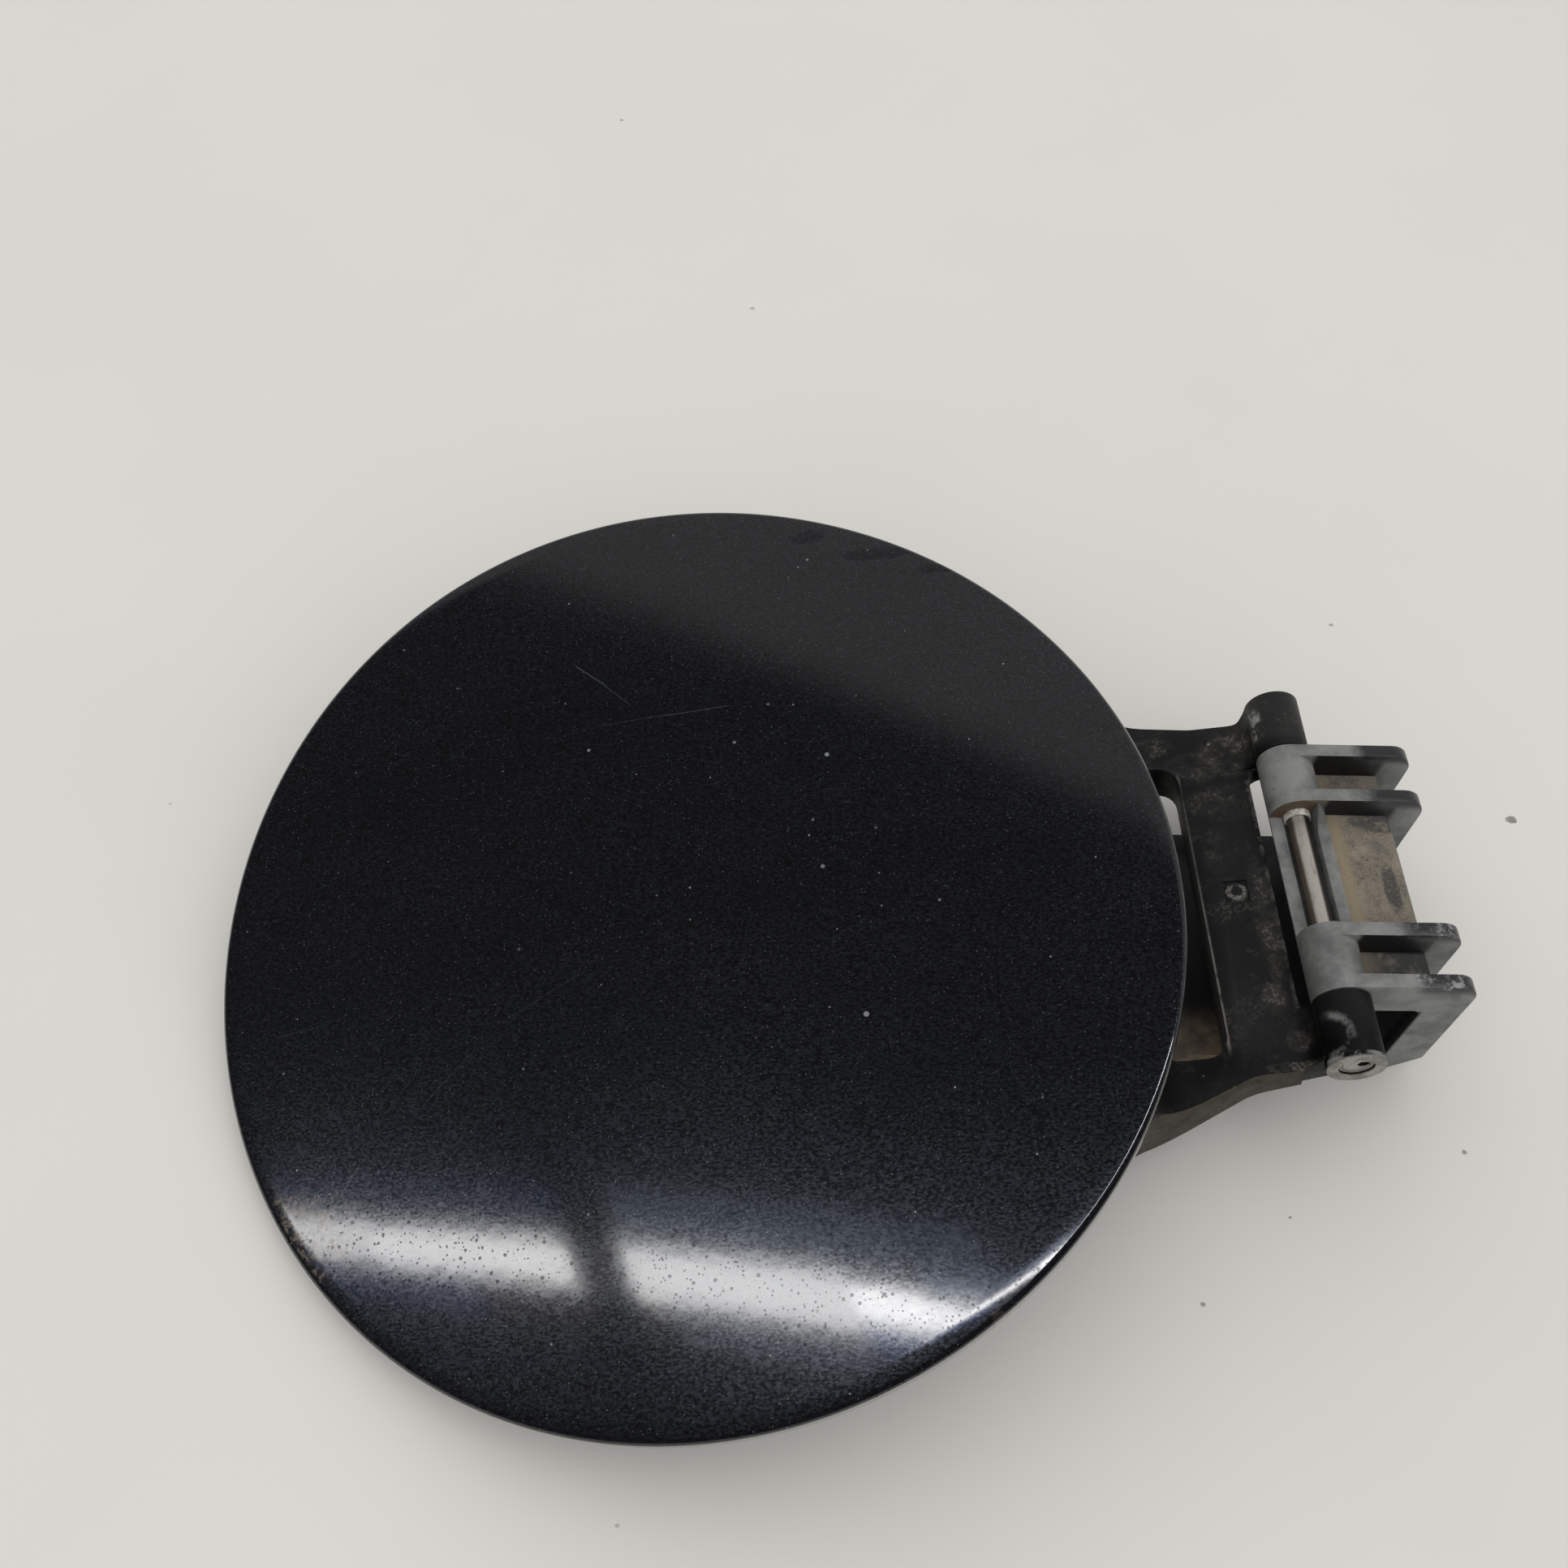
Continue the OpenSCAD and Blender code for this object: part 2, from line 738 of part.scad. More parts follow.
// Side view of the bracket's deck, back wall and base plate, open to the front
function channel_outline() = [
    [0, -deck_low, 0],
    [back_reach - back_wall, -deck_low, edge_r],
    [back_reach - back_wall, base_top, inner_r],
    [-base_reach, base_top, base_t / 3],
    [-base_reach, -hinge_h, base_t / 3],
    [back_reach, -hinge_h, edge_r],
    [back_reach, -deck_drop, edge_r],
    [0, -deck_drop, 0]
];

// The fins' windows reach back to here, and their feet start here on the base plate
window_back = back_reach - back_wall - window_gap;
foot_front = window_back - inner_r - foot_len;

// Side view of a fin: it stands proud of the deck and back wall round the same opening
function fin_outline() = [
    [0, -window_drop, 0],
    [window_back, -window_drop, edge_r],
    [window_back, base_top, inner_r],
    [foot_front, base_top, 0],
    [foot_front, -hinge_h, 0],
    [back_reach, -hinge_h, edge_r],
    [fin_reach, -hinge_h + fin_cut, edge_r],
    [fin_reach, barrel_r, fin_corner_r],
    [0, barrel_r, 0]
];

// The four fins, given by their lower faces along the pin
fin_places = [
    -barrel_end,
    -trough_half - fin_t - fin_setback,
    trough_half + fin_setback,
    barrel_end - fin_t
];

// The middle of the barrel is cut open above, so that the pin lies in a trough
module trough_cut() {
    half = trough_half;
    pin_cylinder(trough_r, -half, half);
    translate([-barrel_r - cut, -half, -front_lip])
        cube([barrel_r + cut, 2 * half, 2 * barrel_r]);
    translate([-cut, 0, 0])
        rotate([90, 0, 90])
            linear_extrude(height = barrel_r + 3 * cut)
                polygon(rounded(back_wall_cut()));
    translate([0, -half, -front_lip])
        cube([trough_r, 2 * half, 2 * barrel_r]);
}

// What is cut away over the trough's back wall, seen along X: y and z
function back_wall_cut() = [
    [-trough_half, back_lip, 0],
    [trough_half - wall_ramp, back_lip, wall_ramp],
    [trough_half, barrel_r, 0],
    [trough_half, 2 * barrel_r, 0],
    [-trough_half, 2 * barrel_r, 0]
];

// In front of the fins' feet the base plate is shorter than the barrels
module base_trims() {
    for (low = [-barrel_end - cut, base_half])
        translate([-base_reach - cut, low, -hinge_h - cut])
            cube([base_reach + cut + foot_front, base_inset + cut, base_t + 2 * cut]);
}

// The deck is a little deeper in the bays outside the barrels' inner ends
module bay_cuts() {
    bay = barrel_len - 2 * fin_t - fin_setback;
    for (low = [-barrel_end + fin_t, barrel_end - fin_t - bay])
        translate([0, low, -deck_drop - bay_drop])
            cube([back_reach, bay, bay_drop + cut]);
}

module hinge_bracket() {
    color([0.4, 0.4, 0.4])
        at_pin()
            difference() {
                union() {
                    difference() {
                        along_pin(-barrel_end, barrel_end)
                            polygon(rounded(channel_outline()));
                        bay_cuts();
                        base_trims();
                    }
                    for (low = fin_places)
                        along_pin(low, low + fin_t)
                            polygon(rounded(fin_outline()));
                    pin_cylinder(barrel_r, -barrel_end, barrel_end);
                }
                trough_cut();
                pin_cylinder(bush_out_r + push_clearance, -barrel_end - cut, barrel_end + cut);
                for (side = [-1, 1])
                    translate([-screw_reach, side * screw_pitch / 2, -hinge_h - cut])
                        cylinder(d = screw_d, h = base_t + 2 * cut);
            }
}

outer_skin();
hinge_arm();
latch_striker();
buffer(1);  // buffer_upper
buffer(-1);  // buffer_lower
hinge_pin();
pin_bush(1);  // pin_bush_upper
pin_bush(-1);  // pin_bush_lower
hinge_bracket();
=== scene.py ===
# %% [markdown]
# # A round car fuel door on its hinge
# The real thing is a crowned, painted plastic disc glued to a black moulded arm. The arm turns on a
# steel pin, and the pin sits in a grey moulded bracket that is screwed to the car.
# This lesson dresses the packed CAD solids: each cell makes one piece or one finish.

# %% Load the solids that everything is fitted to
import json
import math
import bmesh
import bpy
from mathutils import Matrix, Vector


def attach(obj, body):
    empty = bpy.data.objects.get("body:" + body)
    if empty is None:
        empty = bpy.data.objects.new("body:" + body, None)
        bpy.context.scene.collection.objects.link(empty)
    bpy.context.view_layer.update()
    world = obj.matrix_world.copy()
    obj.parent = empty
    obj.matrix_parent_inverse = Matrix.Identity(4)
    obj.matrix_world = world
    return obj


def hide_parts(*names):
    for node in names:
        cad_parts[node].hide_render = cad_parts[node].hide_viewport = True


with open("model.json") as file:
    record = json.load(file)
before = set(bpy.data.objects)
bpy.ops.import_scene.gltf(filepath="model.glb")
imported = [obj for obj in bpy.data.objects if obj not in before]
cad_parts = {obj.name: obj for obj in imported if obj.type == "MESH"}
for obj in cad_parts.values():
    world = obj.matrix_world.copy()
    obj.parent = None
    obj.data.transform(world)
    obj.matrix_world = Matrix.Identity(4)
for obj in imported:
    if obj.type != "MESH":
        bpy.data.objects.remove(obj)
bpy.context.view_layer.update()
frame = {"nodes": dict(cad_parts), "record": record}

scene = bpy.context.scene
MM = 0.001
print("solids:", ", ".join(sorted(frame["nodes"])))

# %% [markdown]
# ## Three frames of reference
# The bracket stands upright on the table. The door leans about the pin, and the panel also rolls a
# little against the arm. One matrix for each of these lets a piece be drawn in its own plain
# coordinates, in millimetres, and then be carried to its place.

# %% Frames of the pin, the door and the panel
DOOR_TILT = 12.3
PANEL_ROLL = 7.5
PANEL_MIDDLE = (-110.6, -10.9, 25.1)
pin_height = frame["record"]["behaviour"]["joints"][0]["pos_m"][2]

at_pin = Matrix.Translation((0, 0, pin_height))
at_door = at_pin @ Matrix.Rotation(math.radians(-DOOR_TILT), 4, "Y")
at_panel = (at_door @ Matrix.Translation(Vector(PANEL_MIDDLE) * MM)
            @ Matrix.Rotation(math.radians(PANEL_ROLL), 4, "X"))
print("pin height", round(pin_height, 5), "panel middle", [round(v, 4) for v in at_panel.translation])

# %% [markdown]
# ## Camera
# The camera looks down on the door from the side of the lower knuckle, about 27 cm above the table.
# Its place and lens were worked out from the ellipse of the disc and the lines of the bracket.

# %% Camera at the photograph's viewing angle
CAMERA_PLACE = (-0.1105, -0.1473, 0.2664)
CAMERA_TURN = (34.64, -3.015, -0.907)
LENS_MM = 36.19
camera_data = bpy.data.cameras.new("table_camera")
camera_data.lens = LENS_MM
camera_data.sensor_width = 36
camera_data.clip_start = 0.01
camera = bpy.data.objects.new("table_camera", camera_data)
camera.location = CAMERA_PLACE
camera.rotation_euler = [math.radians(a) for a in CAMERA_TURN]
scene.collection.objects.link(camera)
scene.camera = camera
scene.view_settings.view_transform = "Standard"
print("camera at", CAMERA_PLACE, "with a lens of", LENS_MM, "mm")

# %% [markdown]
# ## Node helpers
# A finish is a small recipe of texture nodes. These helpers add one step of a recipe each, so a
# material below reads like a list: where, how fine, how strong.

# %% Helpers that add one node and join it up
class Finish:
    """A material whose steps are added one by one, on Object coordinates in metres."""

    def __init__(self, name):
        self.material = bpy.data.materials.new(name)
        self.material.use_nodes = True
        self.tree = self.material.node_tree
        self.shader = self.tree.nodes["Principled BSDF"]
        self.place = self.add("ShaderNodeTexCoord").outputs["Object"]

    def add(self, kind, inputs=None, **settings):
        """A new node: an input takes a number, a colour or the output of another node."""
        made = self.tree.nodes.new(kind)
        for key, value in settings.items():
            setattr(made, key, value)
        for key, value in (inputs or {}).items():
            if isinstance(value, bpy.types.NodeSocket):
                self.tree.links.new(value, made.inputs[key])
            else:
                made.inputs[key].default_value = value
        return made

    def turned_to(self, matrix):
        """Coordinates measured from a frame of reference, still in metres."""
        return self.add("ShaderNodeMapping", {
            "Vector": self.place, "Location": matrix.translation,
            "Rotation": matrix.to_euler()}, vector_type="TEXTURE").outputs[0]

    def stretched(self, place, scale):
        """Coordinates times one factor for each axis."""
        return self.add("ShaderNodeMapping", {"Vector": place, "Scale": scale}).outputs[0]

    def axes(self, place=None):
        """The three coordinates of a place, in millimetres."""
        large = self.stretched(place or self.place, (1000, 1000, 1000))
        return self.add("ShaderNodeSeparateXYZ", {0: large}).outputs[:]

    def facing(self):
        """How far a surface faces along each of the piece's own axes."""
        return self.add("ShaderNodeSeparateXYZ", {
            0: self.add("ShaderNodeTexCoord").outputs["Normal"]}).outputs[:]

    def noise(self, scale, detail=3, rough=0.55, place=None):
        """Cloudy noise round 0.5: a higher scale makes it finer."""
        return self.add("ShaderNodeTexNoise", {
            "Vector": place or self.place, "Scale": scale, "Detail": detail,
            "Roughness": rough}).outputs["Fac"]

    def ramp(self, value, low, high, to_low=0.0, to_high=1.0):
        """A soft step from one result at low to another at high."""
        return self.add("ShaderNodeMapRange", {
            "Value": value, "From Min": low, "From Max": high,
            "To Min": to_low, "To Max": to_high}, interpolation_type="SMOOTHSTEP").outputs[0]

    def between(self, value, low, high, soft=0.3):
        """1 between two limits and 0 outside them, with soft ends."""
        return self.sum("MULTIPLY", self.ramp(value, low - soft, low + soft),
                        self.ramp(value, high + soft, high - soft))

    def sum(self, kind, first, second=0.0):
        """One step of arithmetic with numbers or outputs."""
        return self.add("ShaderNodeMath", {0: first, 1: second}, operation=kind).outputs[0]

    def all_of(self, *shares):
        """The product of shares, so each of them can hold the others back."""
        result = shares[0]
        for share in shares[1:]:
            result = self.sum("MULTIPLY", result, share)
        return result

    def swing(self, noise, amount):
        """Noise turned into a number that swings about zero."""
        return self.sum("MULTIPLY", self.sum("SUBTRACT", noise, 0.5), amount)

    def square_sum(self, across, along):
        """The square of the distance from where both coordinates are zero."""
        return self.sum("ADD", self.sum("MULTIPLY", across, across),
                        self.sum("MULTIPLY", along, along))

    def distance(self, across, along):
        """How far a point lies from where both coordinates are zero."""
        return self.sum("SQRT", self.square_sum(across, along))

    def blend(self, amount, first, second):
        """The first colour where the amount is 0 and the second where it is 1."""
        mixed = self.add("ShaderNodeMix", {"Factor": amount}, data_type="RGBA")
        for socket, value in ((mixed.inputs[6], first), (mixed.inputs[7], second)):
            if isinstance(value, bpy.types.NodeSocket):
                self.tree.links.new(value, socket)
            else:
                socket.default_value = (*value, 1)
        return mixed.outputs[2]

    def spot(self, x, y, middle, radii, wobble=None):
        """A soft oval spot seen from above, in millimetres."""
        across = self.sum("DIVIDE", self.sum("SUBTRACT", x, middle[0]), radii[0])
        along = self.sum("DIVIDE", self.sum("SUBTRACT", y, middle[1]), radii[1])
        out = self.square_sum(across, along)
        if wobble is not None:
            out = self.sum("ADD", out, wobble)
        return self.ramp(out, 1.1, 0.5)

    def specks(self, scale, radius, share, place=None):
        """Round specks: a cell holds one where its random value is under the share."""
        cells = self.add("ShaderNodeTexVoronoi", {"Vector": place or self.place, "Scale": scale})
        inside = self.ramp(cells.outputs["Distance"], radius, radius * 0.6)
        lot = self.add("ShaderNodeSeparateColor", {"Color": cells.outputs["Color"]})
        chosen = self.sum("LESS_THAN", lot.outputs[0], share)
        faint = self.sum("MULTIPLY", chosen, lot.outputs[1])
        return self.sum("MULTIPLY", inside, faint)

    def feed(self, socket, value):
        """Give one input of the shader its number or its output."""
        if isinstance(value, bpy.types.NodeSocket):
            self.tree.links.new(value, self.shader.inputs[socket])
        else:
            self.shader.inputs[socket].default_value = value

    def relief(self, height, depth_mm, socket="Normal"):
        """Small bumps, which only change how light falls on the surface."""
        steps = {"Height": height, "Distance": depth_mm * MM, "Strength": 1.0}
        self.feed(socket, self.add("ShaderNodeBump", steps).outputs[0])


print("steps of a finish:", ", ".join(name for name in vars(Finish) if name[0] != "_"))

# %% [markdown]
# ## Table
# The door lies on a pale table top, and one flat square is enough for that. Its colour is nearly
# even, with faint broad patches, so that the black paint stands out against it.

# %% Table top
TABLE_COLOUR = (0.72, 0.70, 0.66)
TABLE_PATCHES = (0.70, 0.685, 0.645)
table_bm = bmesh.new()
bmesh.ops.create_grid(table_bm, x_segments=1, y_segments=1, size=4)
table_mesh = bpy.data.meshes.new("table_top")
table_bm.to_mesh(table_mesh)
table_bm.free()
table = bpy.data.objects.new("table_top", table_mesh)
scene.collection.objects.link(table)
table_finish = Finish("table_top")
table_colour = table_finish.blend(table_finish.ramp(table_finish.noise(9), 0.35, 0.7),
                                  TABLE_COLOUR, TABLE_PATCHES)
print("table top:", len(table_mesh.polygons), "face")

# %% [markdown]
# ## Crumbs of dirt
# A few crumbs have dropped off the dirty hinge. They are too small to need a shape of their own, so
# each is an oval spot in the table's colour, and a fine noise tears its outline.

# %% Crumbs: the middle of each in millimetres, its radius and how dark it is
CRUMB_COLOUR = (0.06, 0.065, 0.05)
CRUMBS = [((58.3, 30.8), 1.3, 0.7), ((-136.6, 267.7), 0.6, 0.5), ((-99.4, 186.6), 0.8, 0.4),
          ((31.3, 83.1), 0.6, 0.5), ((28.8, -41.9), 0.6, 0.6), ((-24, -69.2), 0.5, 0.6),
          ((-5.8, -54.1), 0.35, 0.6), ((-121.6, -103), 0.4, 0.4), ((-216, 29.5), 0.4, 0.3)]
table_x, table_y, _ = table_finish.axes()
torn = table_finish.swing(table_finish.noise(1500, detail=4, rough=0.7), 3)
for middle, radius, depth in CRUMBS:
    crumb = table_finish.sum("MULTIPLY", table_finish.spot(
        table_x, table_y, middle, (radius, radius * 0.8), torn), depth)
    table_colour = table_finish.blend(crumb, table_colour, CRUMB_COLOUR)
table_finish.feed("Base Color", table_colour)
table_finish.feed("Roughness", 0.6)
table_finish.feed("Specular IOR Level", 0.2)
table_mesh.materials.append(table_finish.material)
print("crumbs on the table:", len(CRUMBS))

# %% [markdown]
# ## Room
# Black paint is a mirror, so the room matters as much as the lamps. Rays that come off the paint meet
# a pale wall, which gives the grey sheen on the far half of the panel, or a dark ceiling. Rays that
# only light a surface meet one even light, the simplest stand-in for a bright room, and past the
# table the camera would see the table's colour.

# %% The room around the table
WALL_LIGHT = 0.52
CEILING_LIGHT = 0.10
SOFT_LIGHT = 0.95
TOWARDS_WALL = (0.383, 1.933, -1)
EDGE_BLUR = 0.06
room = bpy.data.worlds.new("room")
scene.world = room
room.use_nodes = True
room_nodes, room_links = room.node_tree.nodes, room.node_tree.links
direction = room_nodes.new("ShaderNodeTexCoord").outputs["Generated"]
over_edge = room_nodes.new("ShaderNodeVectorMath")
over_edge.operation = "DOT_PRODUCT"
room_links.new(direction, over_edge.inputs[0])
over_edge.inputs[1].default_value = TOWARDS_WALL
wall_share = room_nodes.new("ShaderNodeMapRange")
wall_share.interpolation_type = "SMOOTHSTEP"
for key, value in {"From Min": -EDGE_BLUR, "From Max": EDGE_BLUR,
                   "To Min": CEILING_LIGHT, "To Max": WALL_LIGHT}.items():
    wall_share.inputs[key].default_value = value
room_links.new(over_edge.outputs["Value"], wall_share.inputs["Value"])
seen = room_nodes.new("ShaderNodeLightPath")


def room_mix(share, first, second):
    """Two colours of the room, chosen by the kind of ray that looks at it."""
    mixed = room_nodes.new("ShaderNodeMix")
    mixed.data_type = "RGBA"
    room_links.new(share, mixed.inputs["Factor"])
    for socket, value in ((mixed.inputs[6], first), (mixed.inputs[7], second)):
        if isinstance(value, bpy.types.NodeSocket):
            room_links.new(value, socket)
        else:
            socket.default_value = (*value, 1)
    return mixed.outputs[2]


even_light = (SOFT_LIGHT, SOFT_LIGHT, SOFT_LIGHT)
reflected = room_mix(seen.outputs["Is Glossy Ray"], even_light, wall_share.outputs[0])
shown = room_mix(seen.outputs["Is Camera Ray"], reflected, TABLE_COLOUR)
room_links.new(shown, room_nodes["Background"].inputs["Color"])
print("light of the wall", WALL_LIGHT, "ceiling", CEILING_LIGHT, "all round", SOFT_LIGHT)

# %% [markdown]
# ## Strip light
# A ceiling strip light gives the white band on the panel's near edge. The real band has a dark gap,
# narrows towards the rim and flares up at its end. A row of flat lamps can follow all that, since
# each has its own width and brightness. Only reflections see them.

# %% Lamps of the strip: from and to along x, middle and width along y in metres, and brightness
LAMP_HEIGHT = 2
STRIP_TURN = 3.6
STRIP = [("strip_far_end", (-2.93, -2.40), -0.180, 0.085, 14),
         ("strip_far", (-2.40, -1.60), -0.145, 0.080, 18),
         ("strip_gap", (-1.60, -1.43), -0.118, 0.10, 0.6),
         ("strip_near", (-1.43, -0.83), -0.092, 0.092, 17),
         ("strip_end", (-0.83, -0.66), -0.066, 0.060, 28),
         ("strip_end_narrow", (-0.66, -0.50), -0.058, 0.042, 30),
         ("strip_end_edge", (-0.50, -0.30), -0.050, 0.030, 34),
         ("strip_end_rim", (-0.30, 0.30), -0.020, 0.034, 44),
         ("strip_end_far", (0.30, 2.2), 0.072, 0.050, 42)]


def flat_lamp(name, x_range, middle_y, width, glow, mirrored=True, tint=(1, 1, 1)):
    """A flat lamp that faces the table: glow is its brightness, where paper white is 1."""
    length = x_range[1] - x_range[0]
    lamp_data = bpy.data.lights.new(name, "AREA")
    lamp_data.shape = "RECTANGLE"
    lamp_data.size, lamp_data.size_y = length, width
    lamp_data.energy = glow * length * width * math.pi
    lamp_data.color = tint
    lamp = bpy.data.objects.new(name, lamp_data)
    lamp.location = (sum(x_range) / 2, middle_y, LAMP_HEIGHT)
    lamp.rotation_euler = (0, 0, math.radians(STRIP_TURN))
    lamp.visible_glossy = mirrored
    lamp.visible_diffuse = not mirrored
    scene.collection.objects.link(lamp)


for name, x_range, middle_y, width, glow in STRIP:
    flat_lamp(name, x_range, middle_y, width, glow)
print("lamps of the strip:", len(STRIP))

# %% [markdown]
# ## Blue sheen beside the strip, and one soft lamp
# The metal flakes spread a bluish sheen above and below the band. A bluer paint would show it
# everywhere, so faint blue lamps beside the strip give it just there. One wide lamp, which
# reflections do not see, adds a little light from overhead.

# %% Faint lamps beside the strip, and the soft lamp
BLUE_GLOW = (0.72, 0.90, 1.25)
DEEP_BLUE = (0.25, 0.50, 1.5)
SHEEN = [("glow_above_far", (-2.95, -1.6), -0.062, 0.085, 0.26, DEEP_BLUE),
         ("glow_above_near", (-1.43, -0.7), -0.018, 0.045, 1.0, BLUE_GLOW),
         ("glow_above_wide", (-1.43, -0.5), 0.022, 0.09, 0.6, BLUE_GLOW),
         ("glow_corner", (-0.66, 0.3), 0.020, 0.036, 3.2, BLUE_GLOW),
         ("glow_below_far", (-2.9, -1.95), -0.245, 0.080, 0.5, DEEP_BLUE),
         ("glow_below_near", (-1.32, -0.83), -0.165, 0.060, 0.8, BLUE_GLOW),
         ("glow_below_end", (-0.83, -0.45), -0.105, 0.050, 1.5, DEEP_BLUE)]
for name, x_range, middle_y, width, glow, tint in SHEEN:
    flat_lamp(name, x_range, middle_y, width, glow, tint=tint)
flat_lamp("soft_overhead", (-1.4, 0.6), 0.5, 1.2, 0.25, mirrored=False)

# %% [markdown]
# ## Paint and the dust on it
# Dark metallic car paint has two layers. The lower one is nearly black with a blue metal sheen; the
# clear coat on top is a sharp mirror with a slight orange peel. The Principled shader has both
# layers, so the next cells only prepare what feeds them. First come the flakes of the lower layer,
# and dust: a thin even film, fine specks everywhere, and a few larger ones.

# %% Metal flakes and dust
DARK_FLAKE = (0.0010, 0.0012, 0.0018)
BRIGHT_FLAKE = (0.0094, 0.0107, 0.0158)
paint = Finish("panel_paint")
on_panel = paint.turned_to(at_panel)
x, y, _ = paint.axes(on_panel)
brushed = paint.stretched(on_panel, (0.35, 1, 1))
flakes = paint.noise(2700, detail=1, rough=0.5, place=paint.stretched(on_panel, (0.6, 1, 1)))
flake_colour = paint.blend(paint.ramp(flakes, 0.30, 0.72), DARK_FLAKE, BRIGHT_FLAKE)
patches = paint.noise(55, detail=4, rough=0.6, place=brushed)
film = paint.sum("MULTIPLY", paint.ramp(flakes, 0.35, 0.7),
                 paint.ramp(patches, 0.25, 0.8, 0.01, 0.05))
fine_specks = paint.sum("MULTIPLY", paint.specks(1650, 0.26, 0.5, on_panel), 0.29)
round_specks = paint.specks(520, 0.11, 0.10, on_panel)
dust = paint.sum("MAXIMUM", film, paint.sum("MAXIMUM", fine_specks, round_specks))
print("nodes of the flakes and the dust:", len(paint.tree.nodes))

# %% [markdown]
# ## Hairline scratches
# Years of use leave fine pale lines. An image could hold them, but a line between two points needs
# only arithmetic: a point is on it if it lies close beside it and not beyond its ends.

# %% Scratches: two ends, half the width in millimetres and how pale it is
SCRATCHES = [((-20, 51.6), (-12.9, 45.6), 0.16, 0.30), ((-14.4, 46.8), (-8.4, 41), 0.14, 0.22),
             ((-16, 37.4), (0, 38.7), 0.12, 0.16), ((-4, 38.2), (11, 39.3), 0.14, 0.24),
             ((-74, -15.2), (-64, -14.2), 0.14, 0.12), ((-31, -17.5), (-16, -9.5), 0.14, 0.10),
             ((-45, -30.5), (-35, -21), 0.14, 0.10), ((-62, -49), (-55, -38), 0.3, 0.12)]


def hair_scratch(finish, place, start, end, half_width):
    """A thin straight scratch between two points of the panel, in millimetres."""
    first_end, last_end = Vector((*start, 0)) * MM, Vector((*end, 0)) * MM
    length = (last_end - first_end).length
    along = (last_end - first_end).normalized()
    flat = finish.add("ShaderNodeVectorMath", {0: place, 1: (1, 1, 0)}, operation="MULTIPLY")
    moved = finish.add("ShaderNodeVectorMath", {0: flat.outputs[0], 1: first_end},
                       operation="SUBTRACT")
    run = finish.add("ShaderNodeVectorMath", {0: moved.outputs[0], 1: along},
                     operation="DOT_PRODUCT").outputs["Value"]
    side = finish.add("ShaderNodeVectorMath", {0: moved.outputs[0], 1: (-along.y, along.x, 0)},
                      operation="DOT_PRODUCT").outputs["Value"]
    beyond = finish.sum("ABSOLUTE", finish.sum("SUBTRACT", run, length / 2))
    thin = finish.ramp(finish.sum("ABSOLUTE", side), half_width * MM, 0)
    return finish.sum("MULTIPLY", thin, finish.ramp(beyond, length / 2, length / 3))


for start, end, half_width, depth in SCRATCHES:
    line = paint.sum("MULTIPLY", hair_scratch(paint, on_panel, start, end, half_width), depth)
    dust = paint.sum("MAXIMUM", dust, line)
print("scratches:", len(SCRATCHES))

# %% [markdown]
# ## Bright specks
# A dozen specks of dust are brighter than the rest. The noise can't be told where to put them, so
# each is a small round spot at a place of its own.

# %% The brightest specks: the place of each, its radius and its strength
SPECKS = [((25, 70.9), 0.3, 0.7), ((26.9, 27.3), 0.45, 0.8), ((31.1, -21.7), 0.5, 0.8),
          ((44.5, -2.5), 0.3, 0.5), ((25.2, 5.4), 0.4, 0.6), ((16.7, 38.8), 0.3, 0.4),
          ((-16.4, 32.7), 0.35, 0.6), ((10.4, 31.4), 0.35, 0.5), ((23.9, 14.5), 0.3, 0.4),
          ((-28.2, -4.5), 0.3, 0.3), ((34.7, 12), 0.3, 0.3), ((-0.8, 79.3), 0.3, 0.3)]
for middle, radius, strength in SPECKS:
    speck = paint.sum("MULTIPLY", paint.spot(x, y, middle, (radius, radius)), strength)
    dust = paint.sum("MAXIMUM", dust, speck)
print("bright specks:", len(SPECKS))

# %% [markdown]
# ## Smudges and road dirt
# Dry smudges near the far edge only dull the coat. Brown road dirt clings to the rim where the band
# starts, and one small spot of the rim is worn. Noise makes all their outlines ragged.

# %% Smudges, road dirt and the worn spot
SMUDGES = [((25, 76.3), (3.6, 1.8)), ((38, 71.2), (6.5, 1.3)), ((47.5, 66.8), (5, 1.1))]
DIRT_MIDDLE, DIRT_RADII = (-66.5, -51), (10, 8)
WORN_MIDDLE, WORN_RADII = (47.9, -70.2), (1.2, 1.2)
ragged = paint.swing(paint.noise(420, detail=5, rough=0.75, place=brushed), 5)
smudge = 0.0
for middle, radii in SMUDGES:
    smudge = paint.sum("MAXIMUM", smudge, paint.spot(x, y, middle, radii, ragged))
from_centre = paint.distance(x, y)
mud = paint.noise(1150, detail=4, rough=0.7, place=on_panel)
dirt = paint.all_of(paint.spot(x, y, DIRT_MIDDLE, DIRT_RADII, ragged),
                    paint.ramp(mud, 0.46, 0.60), paint.ramp(from_centre, 84.2, 83.5), 0.5)
worn = paint.all_of(paint.ramp(from_centre, 82.8, 83.6),
                    paint.spot(x, y, WORN_MIDDLE, WORN_RADII, ragged), 0.14)
dirt = paint.sum("MAXIMUM", dirt, worn)
print("road dirt is", round(math.hypot(*DIRT_MIDDLE)), "mm from the panel's middle")

# %% [markdown]
# ## Grit in the band, and the two layers
# Fly specks and grit show as dark dots where the strip light is mirrored, so they only thin the
# clear coat there. Dust and dirt hide the coat and the metal under them. With that, everything that
# the two layers need is at hand.

